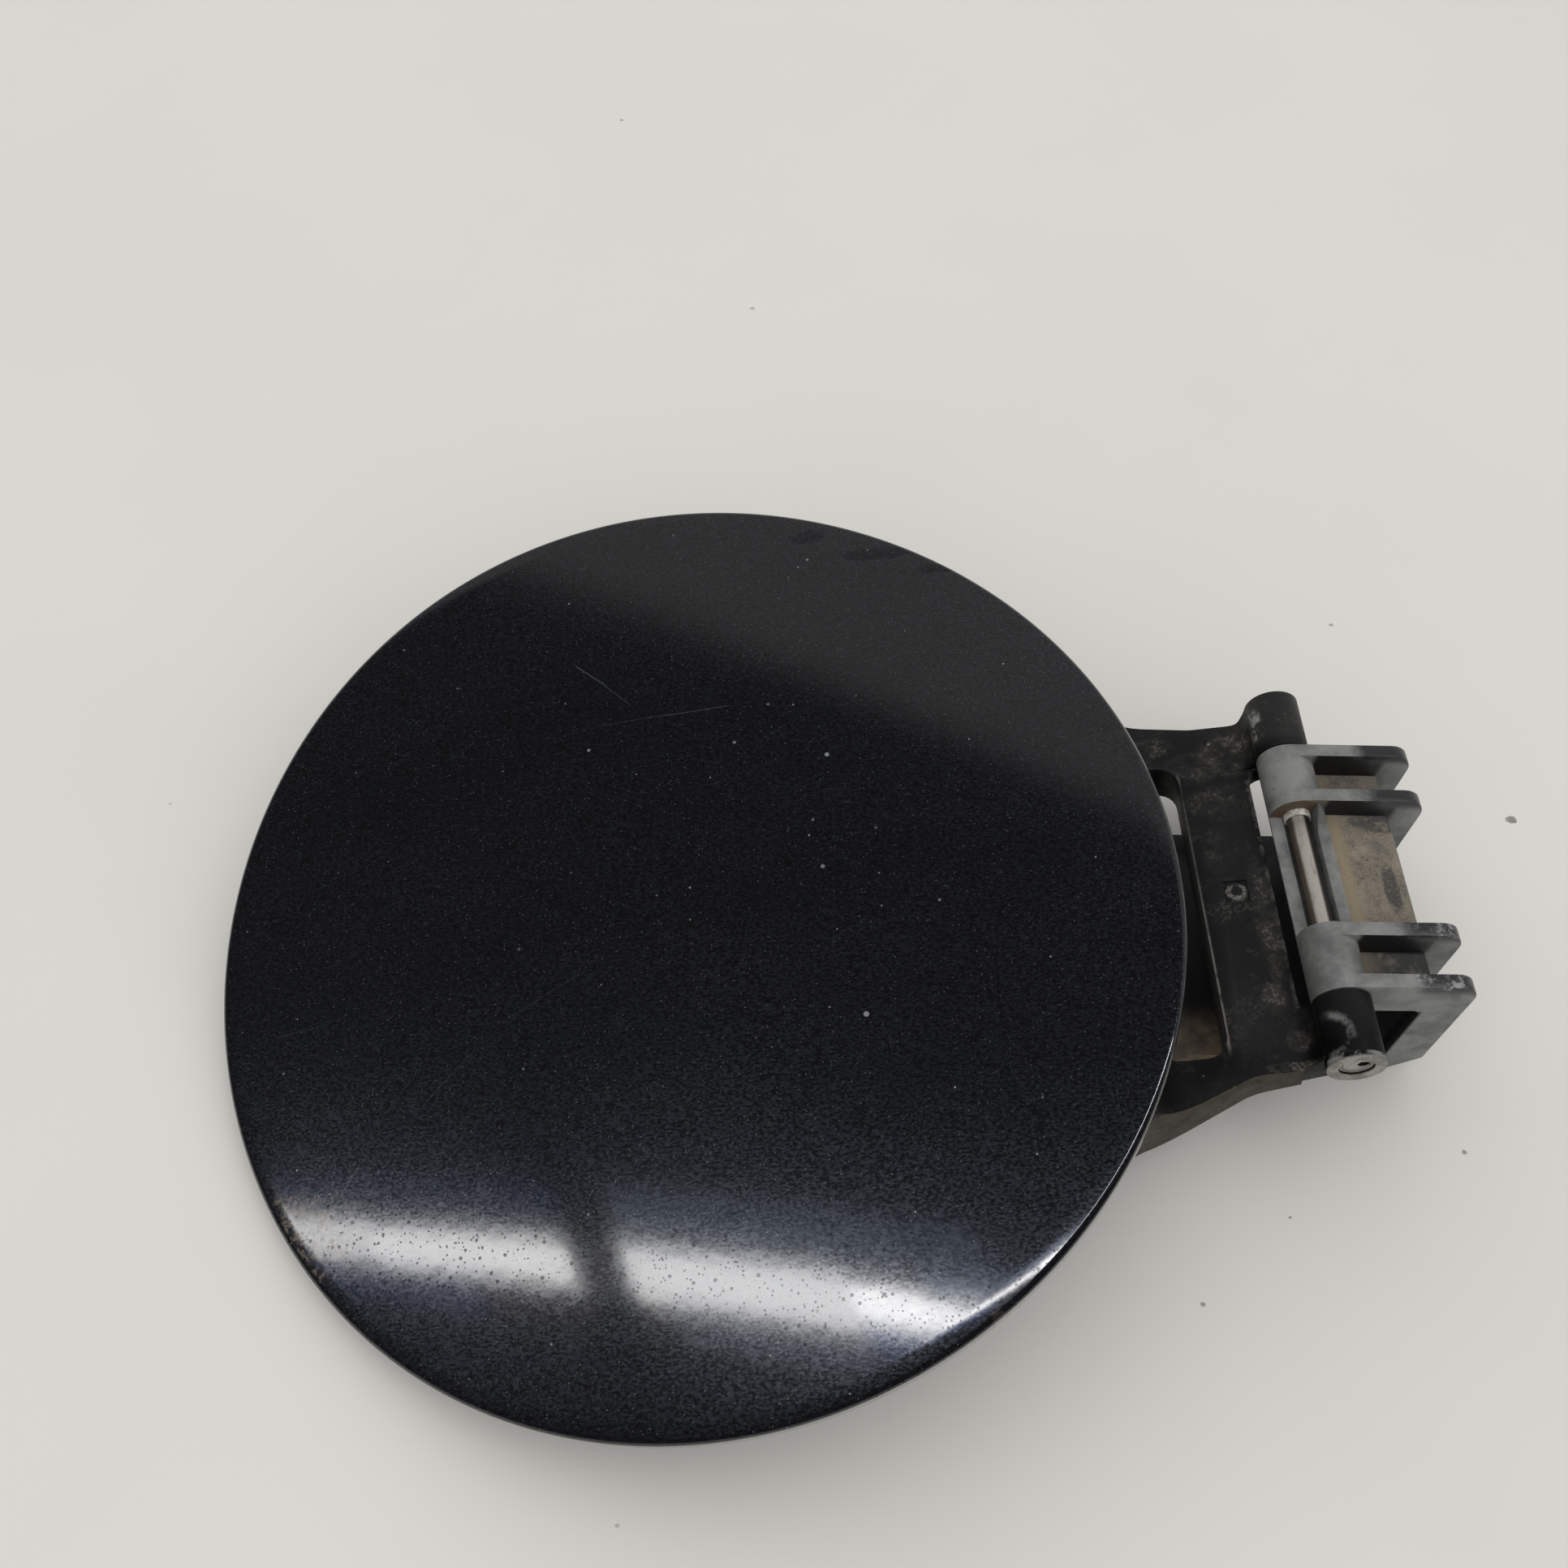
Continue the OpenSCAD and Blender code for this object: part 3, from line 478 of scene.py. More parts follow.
# %% Grit, and what feeds the shader
DUST_COLOUR = (0.24, 0.245, 0.25)
ROAD_DIRT = (0.21, 0.165, 0.13)
grit = paint.sum("MAXIMUM", paint.specks(780, 0.30, 0.6, on_panel),
                 paint.specks(1500, 0.34, 0.7, on_panel))
in_band = paint.sum("MAXIMUM", paint.spot(x, y, (-54, -56), (40, 16)),
                    paint.sum("MULTIPLY", paint.spot(x, y, (14, -66), (70, 18)), 0.7))
grit = paint.sum("MULTIPLY", paint.ramp(grit, 0.1, 0.6), in_band)
coat_cover = paint.sum("MAXIMUM", dust, paint.sum("MULTIPLY", dirt, 0.45))
dusty_flakes = paint.blend(dust, flake_colour, DUST_COLOUR)
paint.feed("Base Color", paint.blend(dirt, dusty_flakes, ROAD_DIRT))
paint.feed("Metallic", paint.ramp(paint.sum("MAXIMUM", dust, dirt), 0, 0.4, 0.8, 0.0))
paint.feed("Roughness", 0.23)
paint.feed("Specular IOR Level", 0.05)
paint.feed("Coat Weight", paint.all_of(paint.ramp(coat_cover, 0.05, 0.5, 1.0, 0.0),
                                       paint.ramp(smudge, 0, 1, 1.0, 0.68),
                                       paint.ramp(grit, 0, 1, 1.0, 0.30)))
paint.feed("Coat Roughness", paint.ramp(flakes, 0.3, 0.7, 0.065, 0.085))
paint.relief(paint.noise(420, detail=2, rough=0.4, place=on_panel), 0.004, "Coat Normal")
paint.relief(flakes, 0.006)
print("nodes of the paint:", len(paint.tree.nodes))

# %% [markdown]
# ## Black plastic of the arm
# The arm is black moulded plastic, dulled by crumbs of road dust. Noise at three scales stands for
# them: a broad one says where dust lies, a middle one makes blotches, and a fine one breaks them up.
# The coordinates are turned with the door, so x, y and z below are the arm's own millimetres.

# %% Black plastic, a painted sheen on the upper knuckle, and crumbs of dust
PLASTIC_BLACK = (0.0016, 0.0016, 0.0016)
PLASTIC_FADED = (0.0048, 0.0046, 0.0042)
KNUCKLE_SHEEN_GREY = (0.024, 0.0235, 0.0225)
CRUMB_DUST = (0.105, 0.092, 0.073)
arm = Finish("arm_plastic")
x, y, z = arm.axes(arm.turned_to(at_door))
face_x, face_y, face_z = arm.facing()
broad = arm.noise(70, detail=5, rough=0.65)
grain = arm.noise(1500, detail=3, rough=0.7)
blotch = arm.noise(300, detail=5, rough=0.7)
arm_colour = arm.blend(arm.ramp(broad, 0.4, 0.7), PLASTIC_BLACK, PLASTIC_FADED)
# Painted sheen: the top of the upper knuckle is lightened to grey, as if it mirrored the room.
knuckle_sheen = arm.all_of(arm.ramp(y, 26.5, 28.5), arm.ramp(x, -7, -4), 0.5)
arm_colour = arm.blend(knuckle_sheen, arm_colour, KNUCKLE_SHEEN_GREY)
crumbs = arm.all_of(arm.ramp(blotch, 0.44, 0.60), arm.ramp(grain, 0.47, 0.60))
dusty = arm.all_of(crumbs, arm.ramp(broad, 0.44, 0.62), arm.ramp(y, -38, -30, 0.12, 0.40))
arm_colour = arm.blend(dusty, arm_colour, CRUMB_DUST)
print("nodes of the dusty plastic:", len(arm.tree.nodes))

# %% [markdown]
# ## Road dust in the arm's hollows
# Brown dust has settled where no hand or wind gets to it. Each cloud is a spot with a ragged edge,
# and the crumbs show through it, so the clouds look like one layer that varies.

# %% Clouds of brown dust: the middle of each, its two radii and how dense it is
BROWN_DUST = (0.13, 0.114, 0.090)
DUST_CLOUDS = [((-9.5, 31), (5, 6), 0.75), ((-17, 27), (5, 4), 0.5), ((-13, 19), (6, 4), 0.45),
               ((-9, -8), (2.4, 14), 0.7), ((-10.5, -23), (3, 4), 0.9), ((-8, -31), (3, 2.6), 0.8),
               ((-10, -36), (5, 1.4), 0.9), ((-24, 33), (5, 2.4), 0.55), ((-15, 9), (3, 5), 0.35)]
ragged = arm.swing(arm.noise(150, detail=6, rough=0.7), 5)
for middle, radii, density in DUST_CLOUDS:
    cloud = arm.all_of(arm.spot(x, y, middle, radii, ragged), density,
                       arm.sum("MAXIMUM", crumbs, arm.ramp(blotch, 0.3, 0.7, 0.0, 0.3)))
    arm_colour = arm.blend(cloud, arm_colour, BROWN_DUST)
print("clouds of dust:", len(DUST_CLOUDS))

# %% [markdown]
# ## A painted highlight and a rubbed edge
# The edge of the arm's opening carries a painted highlight, where its rounded edge would catch the
# light, and the edge of its cross strip is rubbed pale. Limits on the height, the direction of the
# face and the place leave only those two edges.

# %% Painted highlight on the opening's edge, and the rubbed edge of the cross strip
EDGE_HIGHLIGHT_AND_WEAR = (0.20, 0.19, 0.17)
on_top = arm.all_of(arm.ramp(z, -3.3, -3.0), arm.ramp(face_z, 0.15, 0.3))
# Painted highlight on the opening's rounded edge; the cross strip's edge is rubbed pale.
slot_edge_highlight = arm.all_of(on_top, arm.ramp(face_x, -0.30, -0.42), arm.between(x, -19.9, -19.25, 0.15),
                       arm.ramp(blotch, 0.30, 0.55), arm.ramp(y, 8, -14, 0.35, 0.9))
strip_edge = arm.all_of(on_top, arm.ramp(x, -7.6, -6.8), arm.between(y, -25, 25),
                        arm.ramp(blotch, 0.42, 0.62), 0.35)
arm_colour = arm.blend(arm.sum("MAXIMUM", slot_edge_highlight, strip_edge), arm_colour, EDGE_HIGHLIGHT_AND_WEAR)
print("nodes with the rubbed edges:", len(arm.tree.nodes))

# %% [markdown]
# ## The mould's mark
# The mould has left a small square in the cross strip, dark inside, with a pale ring of dirt. The
# larger of two distances makes a square, where the usual distance makes the ring.

# %% A dark square with a torn pale ring in it
MARK_X, MARK_Y = -13.1, -0.6
MARK_BLACK = (0.002, 0.002, 0.002)
RING_DIRT = (0.20, 0.19, 0.165)
mark_x = arm.sum("SUBTRACT", x, MARK_X)
mark_y = arm.sum("SUBTRACT", y, MARK_Y)
larger = arm.sum("MAXIMUM", arm.sum("ABSOLUTE", mark_x), arm.sum("ABSOLUTE", mark_y))
square = arm.all_of(arm.ramp(larger, 2.35, 2.15), arm.ramp(z, -3.6, -3.2))
arm_colour = arm.blend(arm.sum("MULTIPLY", square, 0.8), arm_colour, MARK_BLACK)
from_mark = arm.sum("ADD", arm.distance(mark_x, mark_y),
                    arm.swing(arm.noise(900, detail=4, rough=0.7), 1.6))
pale_ring = arm.all_of(arm.between(from_mark, 1.15, 1.9, 0.2), arm.ramp(mark_y, 1.7, 0.5),
                       arm.ramp(grain, 0.38, 0.56, 0.25, 1.0), square, 0.8)
arm_colour = arm.blend(pale_ring, arm_colour, RING_DIRT)
print("mould's mark at", (MARK_X, MARK_Y))

# %% [markdown]
# ## Ends of the lower knuckle
# Walls that face down the pin are grey with dust, and painted shade makes them darkest right beside
# the knuckle. The knuckle's end is worn to a pale ring, so it is told by its distance from the pin,
# and its rim is scuffed.

# %% Dusty walls with painted shade, and the worn end
WALL_DUST = (0.052, 0.045, 0.034)
WALL_SHADE = (0.018, 0.018, 0.014)
END_PALE = (0.31, 0.30, 0.275)
END_DARK = (0.19, 0.18, 0.16)
# Painted shade: the dusty walls turn near black beside the knuckle.
wall_dust_and_shade = arm.all_of(arm.ramp(face_y, -0.35, -0.8), arm.ramp(z, 2.0, 0.5),
                       arm.ramp(y, -33, -35), arm.ramp(blotch, 0.25, 0.6, 0.35, 1.0))
wall_dust_and_shade_colour = arm.blend(arm.ramp(x, -9.5, -7.5), WALL_DUST, WALL_SHADE)
arm_colour = arm.blend(wall_dust_and_shade, arm_colour, wall_dust_and_shade_colour)
from_pin = arm.distance(x, z)
end_face = arm.all_of(arm.ramp(y, -37.7, -38.0), arm.ramp(from_pin, 5.1, 4.9),
                      arm.ramp(grain, 0.2, 0.6, 0.6, 1.0))
end_colour = arm.blend(arm.ramp(blotch, 0.40, 0.62), END_PALE, END_DARK)
arm_colour = arm.blend(end_face, arm_colour, end_colour)
end_rim = arm.all_of(arm.between(y, -37.9, -37.0, 0.15), arm.ramp(z, 0.6, 2.1),
                     arm.ramp(from_pin, 6.2, 5.8), arm.ramp(blotch, 0.40, 0.56), 0.6)
print("nodes with the worn end:", len(arm.tree.nodes))

# %% [markdown]
# ## Pale scuffs
# Both knuckles are scuffed. The lower one has an arc of scuffs, made as the border of a circle that
# noise makes wobble, and the upper one has patches.

# %% Scuffs, and what feeds the shader
SCUFF_COLOUR = (0.30, 0.295, 0.28)
ARC_MIDDLE, ARC_INNER, ARC_OUTER = (-4.3, -33.3, 0), 3.3, 4.2
wobble = arm.swing(blotch, 2.4)
seen_from_above = arm.add("ShaderNodeCombineXYZ", {0: x, 1: y}).outputs[0]
from_arc = arm.add("ShaderNodeVectorMath", {0: seen_from_above, 1: ARC_MIDDLE},
                   operation="DISTANCE").outputs["Value"]
arc = arm.all_of(arm.between(arm.sum("ADD", from_arc, wobble), ARC_INNER, ARC_OUTER, 0.7),
                 arm.ramp(x, -6.5, -2.5), arm.ramp(z, 1.6, 3.0), arm.ramp(blotch, 0.40, 0.60),
                 arm.ramp(grain, 0.25, 0.60, 0.5, 1.0), 0.6)
scuffs = arm.all_of(arm.spot(x, y, (-4.6, 32.3), (1.8, 4), wobble),
                    arm.ramp(blotch, 0.44, 0.58), arm.ramp(grain, 0.30, 0.60, 0.3, 0.9),
                    arm.ramp(z, 0.3, 1.8))
pale = arc
for wear in (scuffs, end_rim, arm.specks(420, 0.12, 0.10)):
    pale = arm.sum("MAXIMUM", pale, wear)
arm.feed("Base Color", arm.blend(pale, arm_colour, SCUFF_COLOUR))
arm.feed("Roughness", arm.ramp(grain, 0.3, 0.8, 0.42, 0.62))
arm.feed("Specular IOR Level", arm.ramp(y, -36, -28, 0.12, 0.24))
arm.relief(grain, 0.03)
print("nodes of the arm's plastic:", len(arm.tree.nodes))

# %% [markdown]
# ## Grey plastic of the bracket
# The bracket is a greyer plastic, paler where it is rubbed and darker where dirt has stayed. Again a
# broad, a middle and a fine noise are laid over each other, with small dark pits.

# %% Bare grey plastic
GREY_DARK = (0.096, 0.100, 0.094)
GREY_PALE = (0.205, 0.206, 0.200)
OLD_DIRT = (0.085, 0.084, 0.072)
RUBBED_GREY = (0.28, 0.28, 0.27)
PIT_BLACK = (0.03, 0.03, 0.028)
bracket = Finish("bracket_plastic")
x, y, z = bracket.axes()
_, face_y, face_z = bracket.facing()
broad = bracket.noise(90, detail=5, rough=0.65)
blotch = bracket.noise(330, detail=5, rough=0.7)
grain = bracket.noise(2200, detail=5, rough=0.75)
grey = bracket.blend(bracket.ramp(broad, 0.36, 0.62), GREY_DARK, GREY_PALE)
grey = bracket.blend(bracket.ramp(blotch, 0.52, 0.80, 0.0, 0.55), grey, OLD_DIRT)
grey = bracket.blend(bracket.ramp(grain, 0.50, 0.75, 0.0, 0.30), grey, RUBBED_GREY)
grey = bracket.blend(bracket.specks(650, 0.14, 0.22), grey, PIT_BLACK)
print("nodes of the bare plastic:", len(bracket.tree.nodes))

# %% [markdown]
# ## Dirt on the deck
# The deck between the fins has caught brown dirt. It is rubbed pale in places, has dark flecks, and
# is ochre beside the barrels. The colour of the dirt is mixed on its own first, and laid on the deck
# in the next step.

# %% Brown dirt with rubbed places and flecks
DIRT_PALE = (0.215, 0.175, 0.125)
DIRT_DARK = (0.115, 0.100, 0.076)
DIRT_BLOTCH = (0.070, 0.064, 0.054)
DIRT_RUBBED = (0.25, 0.21, 0.15)
FLECK_BROWN = (0.05, 0.035, 0.025)
OCHRE = (0.29, 0.22, 0.115)
dirt = bracket.blend(bracket.ramp(grain, 0.30, 0.70), DIRT_PALE, DIRT_DARK)
dirt = bracket.blend(bracket.ramp(blotch, 0.48, 0.68, 0.0, 0.7), dirt, DIRT_BLOTCH)
rubbed = bracket.all_of(bracket.ramp(blotch, 0.50, 0.36), bracket.ramp(broad, 0.40, 0.60), 0.7)
dirt = bracket.blend(rubbed, dirt, DIRT_RUBBED)
flecks = bracket.sum("MULTIPLY", bracket.specks(1000, 0.30, 0.5), 0.8)
dirt = bracket.blend(flecks, dirt, FLECK_BROWN)
by_barrels = bracket.all_of(bracket.ramp(x, 9, 6.5), bracket.ramp(blotch, 0.3, 0.6), 0.65)
dirt = bracket.blend(by_barrels, dirt, OCHRE)
print("nodes with the dirt:", len(bracket.tree.nodes))

# %% [markdown]
# ## Black streaks and bays
# Two black streaks lie on the deck, and the deeper bays beside it are dark, the lower one most of
# all. Spots and limits place them, and then the dirt goes only on faces of the deck that look up.

# %% Streaks, bays and the deck they lie on
STREAK_BLACK = (0.040, 0.037, 0.032)
BAY_BLACK = (0.024, 0.023, 0.020)
wobble = bracket.swing(blotch, 3)
from_middle = bracket.sum("ABSOLUTE", y)
streak = bracket.sum("MAXIMUM", bracket.spot(x, y, (14.3, -3.0), (1.6, 5.4), wobble),
                     bracket.spot(x, y, (14.5, 11.2), (5.4, 2.4), wobble))
streak = bracket.all_of(streak, bracket.ramp(blotch, 0.28, 0.48),
                        bracket.ramp(grain, 0.3, 0.6, 0.6, 1.0))
dirt = bracket.blend(streak, dirt, STREAK_BLACK)
bay_share = bracket.all_of(bracket.ramp(from_middle, 12.2, 12.8),
                           bracket.ramp(x, 6.5, 11, 0.35, 1.0),
                           bracket.ramp(blotch, 0.30, 0.55, 0.35, 1.0),
                           bracket.ramp(y, -13, -12, 1.0, 0.15))
dirt = bracket.blend(bay_share, dirt, BAY_BLACK)
on_deck = bracket.all_of(bracket.ramp(face_z, 0.5, 0.8), bracket.between(z, 24.5, 28.3),
                         bracket.between(x, 5.2, 19, 0.5))
grey = bracket.blend(on_deck, grey, dirt)
print("nodes with the deck:", len(bracket.tree.nodes))

# %% [markdown]
# ## Near black fins and chips
# The sides of the fins over the deck are made near black, and so are their tails. The tails of the
# lower fins are also chipped to pale plastic. Two noises have to be high at once for a chip, which
# keeps the chips few and in groups.

# %% Near black sides and tails of the fins, and pale chips
FIN_SIDE_BLACK = (0.008, 0.0075, 0.0075)
TAIL_BLACK = (0.014, 0.014, 0.016)
CHIP_PALE = (0.36, 0.36, 0.37)
sideways = bracket.ramp(bracket.sum("ABSOLUTE", face_y), 0.5, 0.8)
# The sides of the fins over the deck are made near black.
fin_sides_dark = bracket.all_of(sideways, bracket.ramp(x, 18.6, 17.2), bracket.ramp(x, 3.5, 5.0),
                       bracket.ramp(z, 25.5, 26.5), bracket.ramp(from_middle, 25.3, 25.1))
grey = bracket.blend(fin_sides_dark, grey, FIN_SIDE_BLACK)
tail_start = bracket.sum("ADD", x, wobble)
tail = bracket.all_of(bracket.ramp(tail_start, 10.6, 14.0), bracket.ramp(z, 29, 31.5))
grey = bracket.blend(tail, grey, TAIL_BLACK)
low_side = bracket.ramp(y, -5, -10, 0.15, 1.0)
chips = bracket.all_of(bracket.ramp(x, 10, 12), bracket.ramp(z, 31, 32), low_side,
                       bracket.ramp(bracket.noise(900, detail=6, rough=0.75), 0.47, 0.62),
                       bracket.ramp(bracket.noise(190, detail=4), 0.44, 0.58), 0.75)
grey = bracket.blend(chips, grey, CHIP_PALE)
print("nodes with the fins:", len(bracket.tree.nodes))

# %% [markdown]
# ## Grease, and the dark inside
# Brown grease has come out at the barrels' inner ends. Deep inside the bracket it is black with
# painted shade and grime, or brown at the lower end, where dirt has gathered.

# %% Grease and the inside, and what feeds the shader
GREASE_BROWN = (0.10, 0.070, 0.045)
INSIDE_SHADE_BLACK = (0.003, 0.003, 0.003)
LOW_PALE = (0.17, 0.125, 0.075)
LOW_DARK = (0.075, 0.060, 0.042)
greasy = bracket.all_of(sideways, bracket.ramp(from_middle, 12.9, 12.7),
                        bracket.ramp(x, 4.5, 3.5), bracket.ramp(z, 26, 27))
grey = bracket.blend(greasy, grey, GREASE_BROWN)
# Painted shade and grime: deep inside, the bracket is near black.
inside = bracket.all_of(bracket.ramp(z, 23.6, 22.8), bracket.ramp(x, 16.2, 15.7))
low_place = bracket.all_of(bracket.ramp(y, -13, -21), bracket.ramp(x, -6, -10))
low_dirt = bracket.blend(bracket.ramp(blotch, 0.35, 0.65), LOW_PALE, LOW_DARK)
inside_colour = bracket.blend(low_place, INSIDE_SHADE_BLACK, low_dirt)
bracket.feed("Base Color", bracket.blend(inside, grey, inside_colour))
bracket.feed("Roughness", bracket.blend(tail, bracket.ramp(grain, 0.3, 0.8, 0.48, 0.65),
                                        (0.30, 0.30, 0.30)))
bracket.feed("Specular IOR Level", 0.45)
bracket.relief(grain, 0.03)
print("nodes of the bracket's plastic:", len(bracket.tree.nodes))

# %% [markdown]
# ## Steel of the pin
# The pin is worn steel with brown stains that run along it. Painted shade makes it brown on the side
# towards the arm and nearly black on the other. Its head is dull grey, with a ring of painted shade
# near its rim and a small hole whose inside is painted black as shade.

# %% Worn steel with painted shade, and the pin's head
STEEL_CLEAN, STEEL_STAINED = (0.52, 0.48, 0.43), (0.28, 0.235, 0.19)
STEEL_BROWN_SHADE, STEEL_SHADED = (0.13, 0.105, 0.08), (0.035, 0.028, 0.024)
HEAD_PALE, HEAD_DARK = (0.31, 0.30, 0.275), (0.20, 0.19, 0.17)
RING_SHADE_DARK, HOLE_SHADE_BLACK = (0.10, 0.095, 0.085), (0.004, 0.004, 0.004)
pin = Finish("pin_steel")
x, y, z = pin.axes()
face_x = pin.facing()[0]
stains = pin.noise(900, detail=5, place=pin.stretched(pin.place, (1, 0.3, 1)))
steel = pin.blend(pin.ramp(stains, 0.48, 0.80), STEEL_CLEAN, STEEL_STAINED)
# Painted shade on the pin's sides: brown towards the arm, nearly black on the other side.
steel = pin.blend(pin.ramp(face_x, -0.66, -0.86), steel, STEEL_BROWN_SHADE)
steel = pin.blend(pin.ramp(face_x, 0.05, 0.35), steel, STEEL_SHADED)
at_head = pin.ramp(y, -36, -36.5)
head_grey = pin.blend(pin.ramp(stains, 0.40, 0.70), HEAD_PALE, HEAD_DARK)
from_axis = pin.distance(x, pin.sum("SUBTRACT", z, pin_height / MM))
# Painted shade: a dark ring where the head meets its recess.
ring = pin.between(from_axis, 2.15, 2.45, 0.1)
head_grey = pin.blend(ring, head_grey, RING_SHADE_DARK)
# Painted shade: the hole's walls and floor are near black.
hole_shade = pin.all_of(pin.ramp(y, -37.35, -37.2), pin.ramp(y, -36.6, -36.7),
                     pin.ramp(from_axis, 2.6, 2.5))
head_grey = pin.blend(hole_shade, head_grey, HOLE_SHADE_BLACK)
pin.feed("Base Color", pin.blend(at_head, steel, head_grey))
pin.feed("Metallic", pin.ramp(at_head, 0, 1, 0.7, 0.0))
pin.feed("Roughness", pin.ramp(stains, 0.3, 0.8, 0.38, 0.60))
print("nodes of the pin's steel:", len(pin.tree.nodes))

# %% [markdown]
# ## Nylon and rubber
# The bushes are natural nylon, off-white with brown grime, and the buffers are plain black rubber.
# One noise between two colours is enough for each.

# %% Nylon of the bushes and rubber of the buffers
NYLON_PALE, NYLON_GRIMY = (0.62, 0.60, 0.55), (0.30, 0.25, 0.19)
RUBBER_BLACK, RUBBER_GREY = (0.012, 0.012, 0.012), (0.03, 0.029, 0.028)
bush = Finish("bush_nylon")
bush_grime = bush.ramp(bush.noise(800, detail=3), 0.45, 0.7)
bush.feed("Base Color", bush.blend(bush_grime, NYLON_PALE, NYLON_GRIMY))
bush.feed("Roughness", 0.5)
rubber = Finish("buffer_rubber")
rubber.feed("Base Color", rubber.blend(rubber.noise(600), RUBBER_BLACK, RUBBER_GREY))
rubber.feed("Roughness", 0.75)
print("finishes:", [m.name for m in bpy.data.materials])

# %% [markdown]
# ## Shaping helpers
# A piece of this scene is a mesh with one finish, and a few calls say what it rides on and which
# solid it stands for. A moulded piece starts as a copy of its solid: the copy's loose triangles are
# welded, flat areas become single faces, and each sharp edge gets the small round that a mould
# leaves.

# %% Helpers that finish a mesh
SMOOTH_BELOW = math.radians(32)
SHARP_ABOVE = math.radians(40)
FLAT_WITHIN = math.radians(0.5)


def show(bm, name, finish, body, replaced):
    """Turn a bmesh into a piece that rides on a body and stands for CAD nodes."""
    bmesh.ops.recalc_face_normals(bm, faces=bm.faces)
    for face in bm.faces:
        face.smooth = True
    for edge in bm.edges:
        if len(edge.link_faces) == 2:
            edge.smooth = edge.calc_face_angle() < SMOOTH_BELOW
    mesh = bpy.data.meshes.new(name)
    bm.to_mesh(mesh)
    bm.free()
    mesh.materials.append(finish.material)
    piece = bpy.data.objects.new(name, mesh)
    scene.collection.objects.link(piece)
    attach(piece, body)
    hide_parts(*replaced)
    print(name, "has", len(mesh.polygons), "faces")


def moulded_copy(node, name, finish, body, edge_mm):
    """A welded copy of a CAD node whose sharp edges are rounded."""
    bm = bmesh.new()
    bm.from_mesh(frame["nodes"][node].data)
    bmesh.ops.remove_doubles(bm, verts=bm.verts, dist=2e-6)
    bmesh.ops.dissolve_limit(bm, angle_limit=FLAT_WITHIN, verts=bm.verts, edges=bm.edges)
    sharp = [e for e in bm.edges if len(e.link_faces) == 2 and e.calc_face_angle() > SHARP_ABOVE]
    bmesh.ops.bevel(bm, geom=sharp, offset=edge_mm * MM, offset_type="OFFSET", segments=2,
                    profile=0.5, affect="EDGES", clamp_overlap=True, material=-1)
    show(bm, name, finish, body, [node])


# %% [markdown]
# ## Section of the painted panel
# The panel is a dish turned upside down: a face, a rounded edge and a short rim. Half of its section
# is drawn from the middle out to the edge, down the rim and back in underneath, as points of radius
# and height in millimetres.

# %% Section of the panel
PANEL_RADIUS = 85
PANEL_THICKNESS = 1.8
RIM_HEIGHT = 4
RIM_WALL = 2
EDGE_ROUND = 1.1
INNER_CUT = 0.67
RIM_FOOT = [(0, 0.4), (0.15, 0.1), (0.4, 0)]
FACE_RINGS, EDGE_STEPS, UNDER_RINGS = 36, 10, 24
flat_radius = PANEL_RADIUS - EDGE_ROUND
inner_radius = PANEL_RADIUS - RIM_WALL
under_radius = inner_radius - INNER_CUT
edge_angles = [math.radians(90 * step / EDGE_STEPS) for step in range(1, EDGE_STEPS + 1)]
section = [(flat_radius * ring / FACE_RINGS, 0) for ring in range(FACE_RINGS + 1)]
section += [(flat_radius + EDGE_ROUND * math.sin(angle), -EDGE_ROUND * (1 - math.cos(angle)))
            for angle in edge_angles]
section += [(PANEL_RADIUS - inward, -RIM_HEIGHT + up) for inward, up in RIM_FOOT]
section += [(inner_radius, -RIM_HEIGHT), (inner_radius, -PANEL_THICKNESS - INNER_CUT),
            (under_radius, -PANEL_THICKNESS)]
section += [(under_radius * ring / UNDER_RINGS, -PANEL_THICKNESS)
            for ring in range(UNDER_RINGS - 1, -1, -1)]
print("points of the section:", len(section))

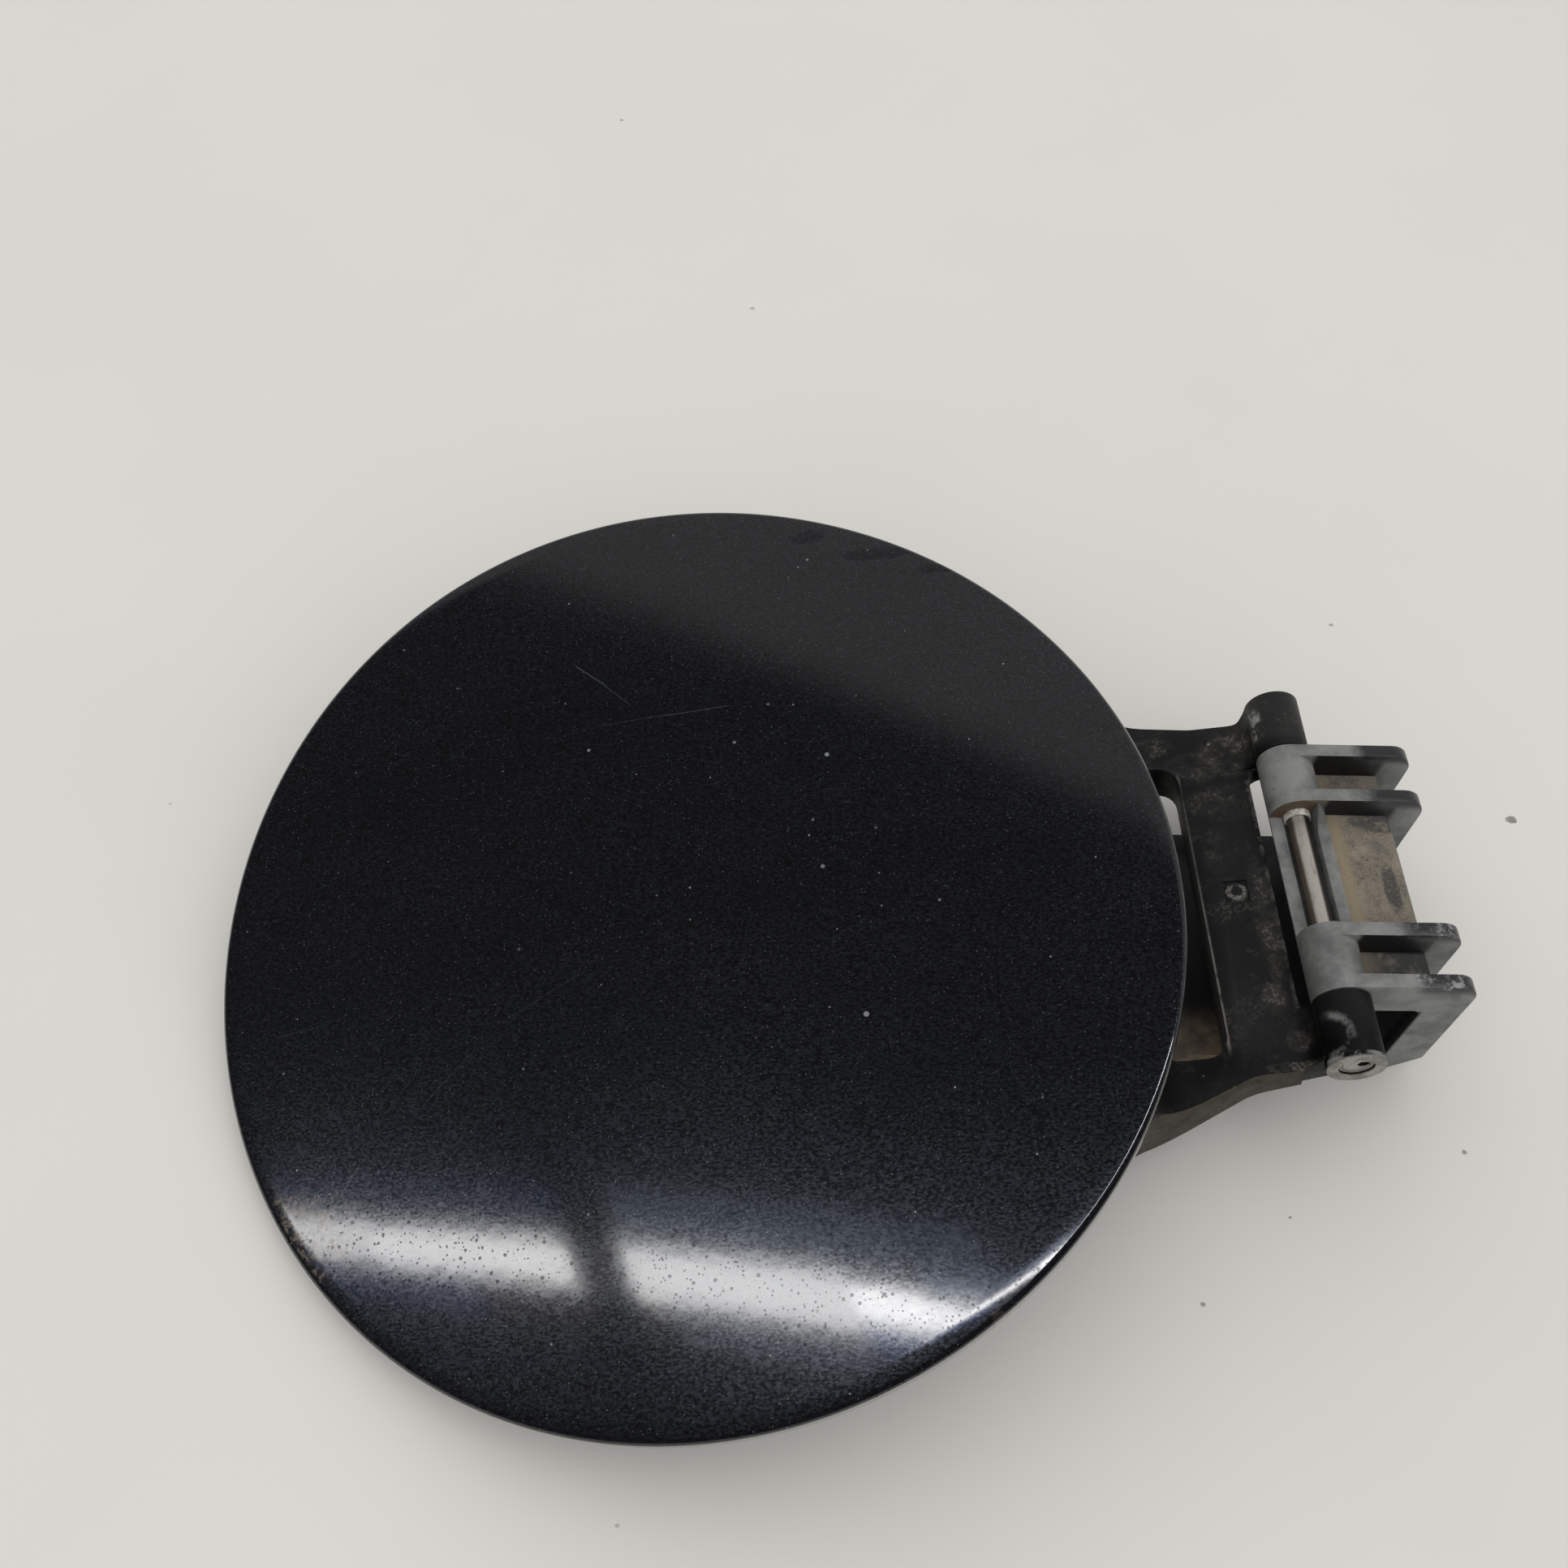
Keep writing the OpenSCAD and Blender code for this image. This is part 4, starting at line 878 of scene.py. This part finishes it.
# %% [markdown]
# ## Painted panel
# Spinning the section gives the round form in one step. Each ring then sinks along one direction,
# which gives the gentle bend of a car's flank, and 300 steps keep the reflections on it smooth.

# %% Spin the panel and bend it
CROWN_DROP, CROWN_TURN = 7, math.radians(31)
SPIN_STEPS = 300
panel_bm = bmesh.new()
points = [panel_bm.verts.new(Vector((radius, 0, height)) * MM) for radius, height in section]
for first, second in zip(points, points[1:]):
    panel_bm.edges.new((first, second))
bmesh.ops.spin(panel_bm, geom=panel_bm.verts[:] + panel_bm.edges[:], cent=(0, 0, 0),
               axis=(0, 0, 1), angle=2 * math.pi, steps=SPIN_STEPS, use_merge=True,
               use_duplicate=False)
bmesh.ops.remove_doubles(panel_bm, verts=panel_bm.verts, dist=1e-7)
crown_radius = (PANEL_RADIUS ** 2 + CROWN_DROP ** 2) / (2 * CROWN_DROP)
for vert in panel_bm.verts:
    x, y = vert.co.x / MM, vert.co.y / MM
    along = x * math.cos(CROWN_TURN) + y * math.sin(CROWN_TURN)
    crown_height = math.sqrt(crown_radius ** 2 - along ** 2) - crown_radius
    vert.co.z += (CROWN_DROP / 2 + crown_height) * MM
panel_bm.transform(at_panel)
show(panel_bm, "painted_panel", paint, "door", ["outer_skin"])

# %% [markdown]
# ## Arm, bracket and striker
# These are mouldings with many walls and ribs, which the solids already have. What they lack is soft
# edges, so each is shown by a rounded copy.

# %% Arm, bracket and striker
moulded_copy("hinge_arm", "arm_moulding", arm, "door", 0.3)
moulded_copy("hinge_bracket", "bracket_moulding", bracket, "bracket", 0.3)
moulded_copy("latch_striker", "striker_loop", arm, "door", 0.3)

# %% [markdown]
# ## Pin, bushes and buffers
# These are turned pieces. Their solids are already round enough, so they too are shown by copies
# with a fine break on each sharp edge.

# %% Pin, bushes and buffers
moulded_copy("hinge_pin", "steel_pin", pin, "door", 0.15)
for side in ("upper", "lower"):
    moulded_copy("pin_bush_" + side, "bush_" + side, bush, "bracket", 0.1)
    moulded_copy("buffer_" + side, "rubber_buffer_" + side, rubber, "door", 0.1)

# %% [markdown]
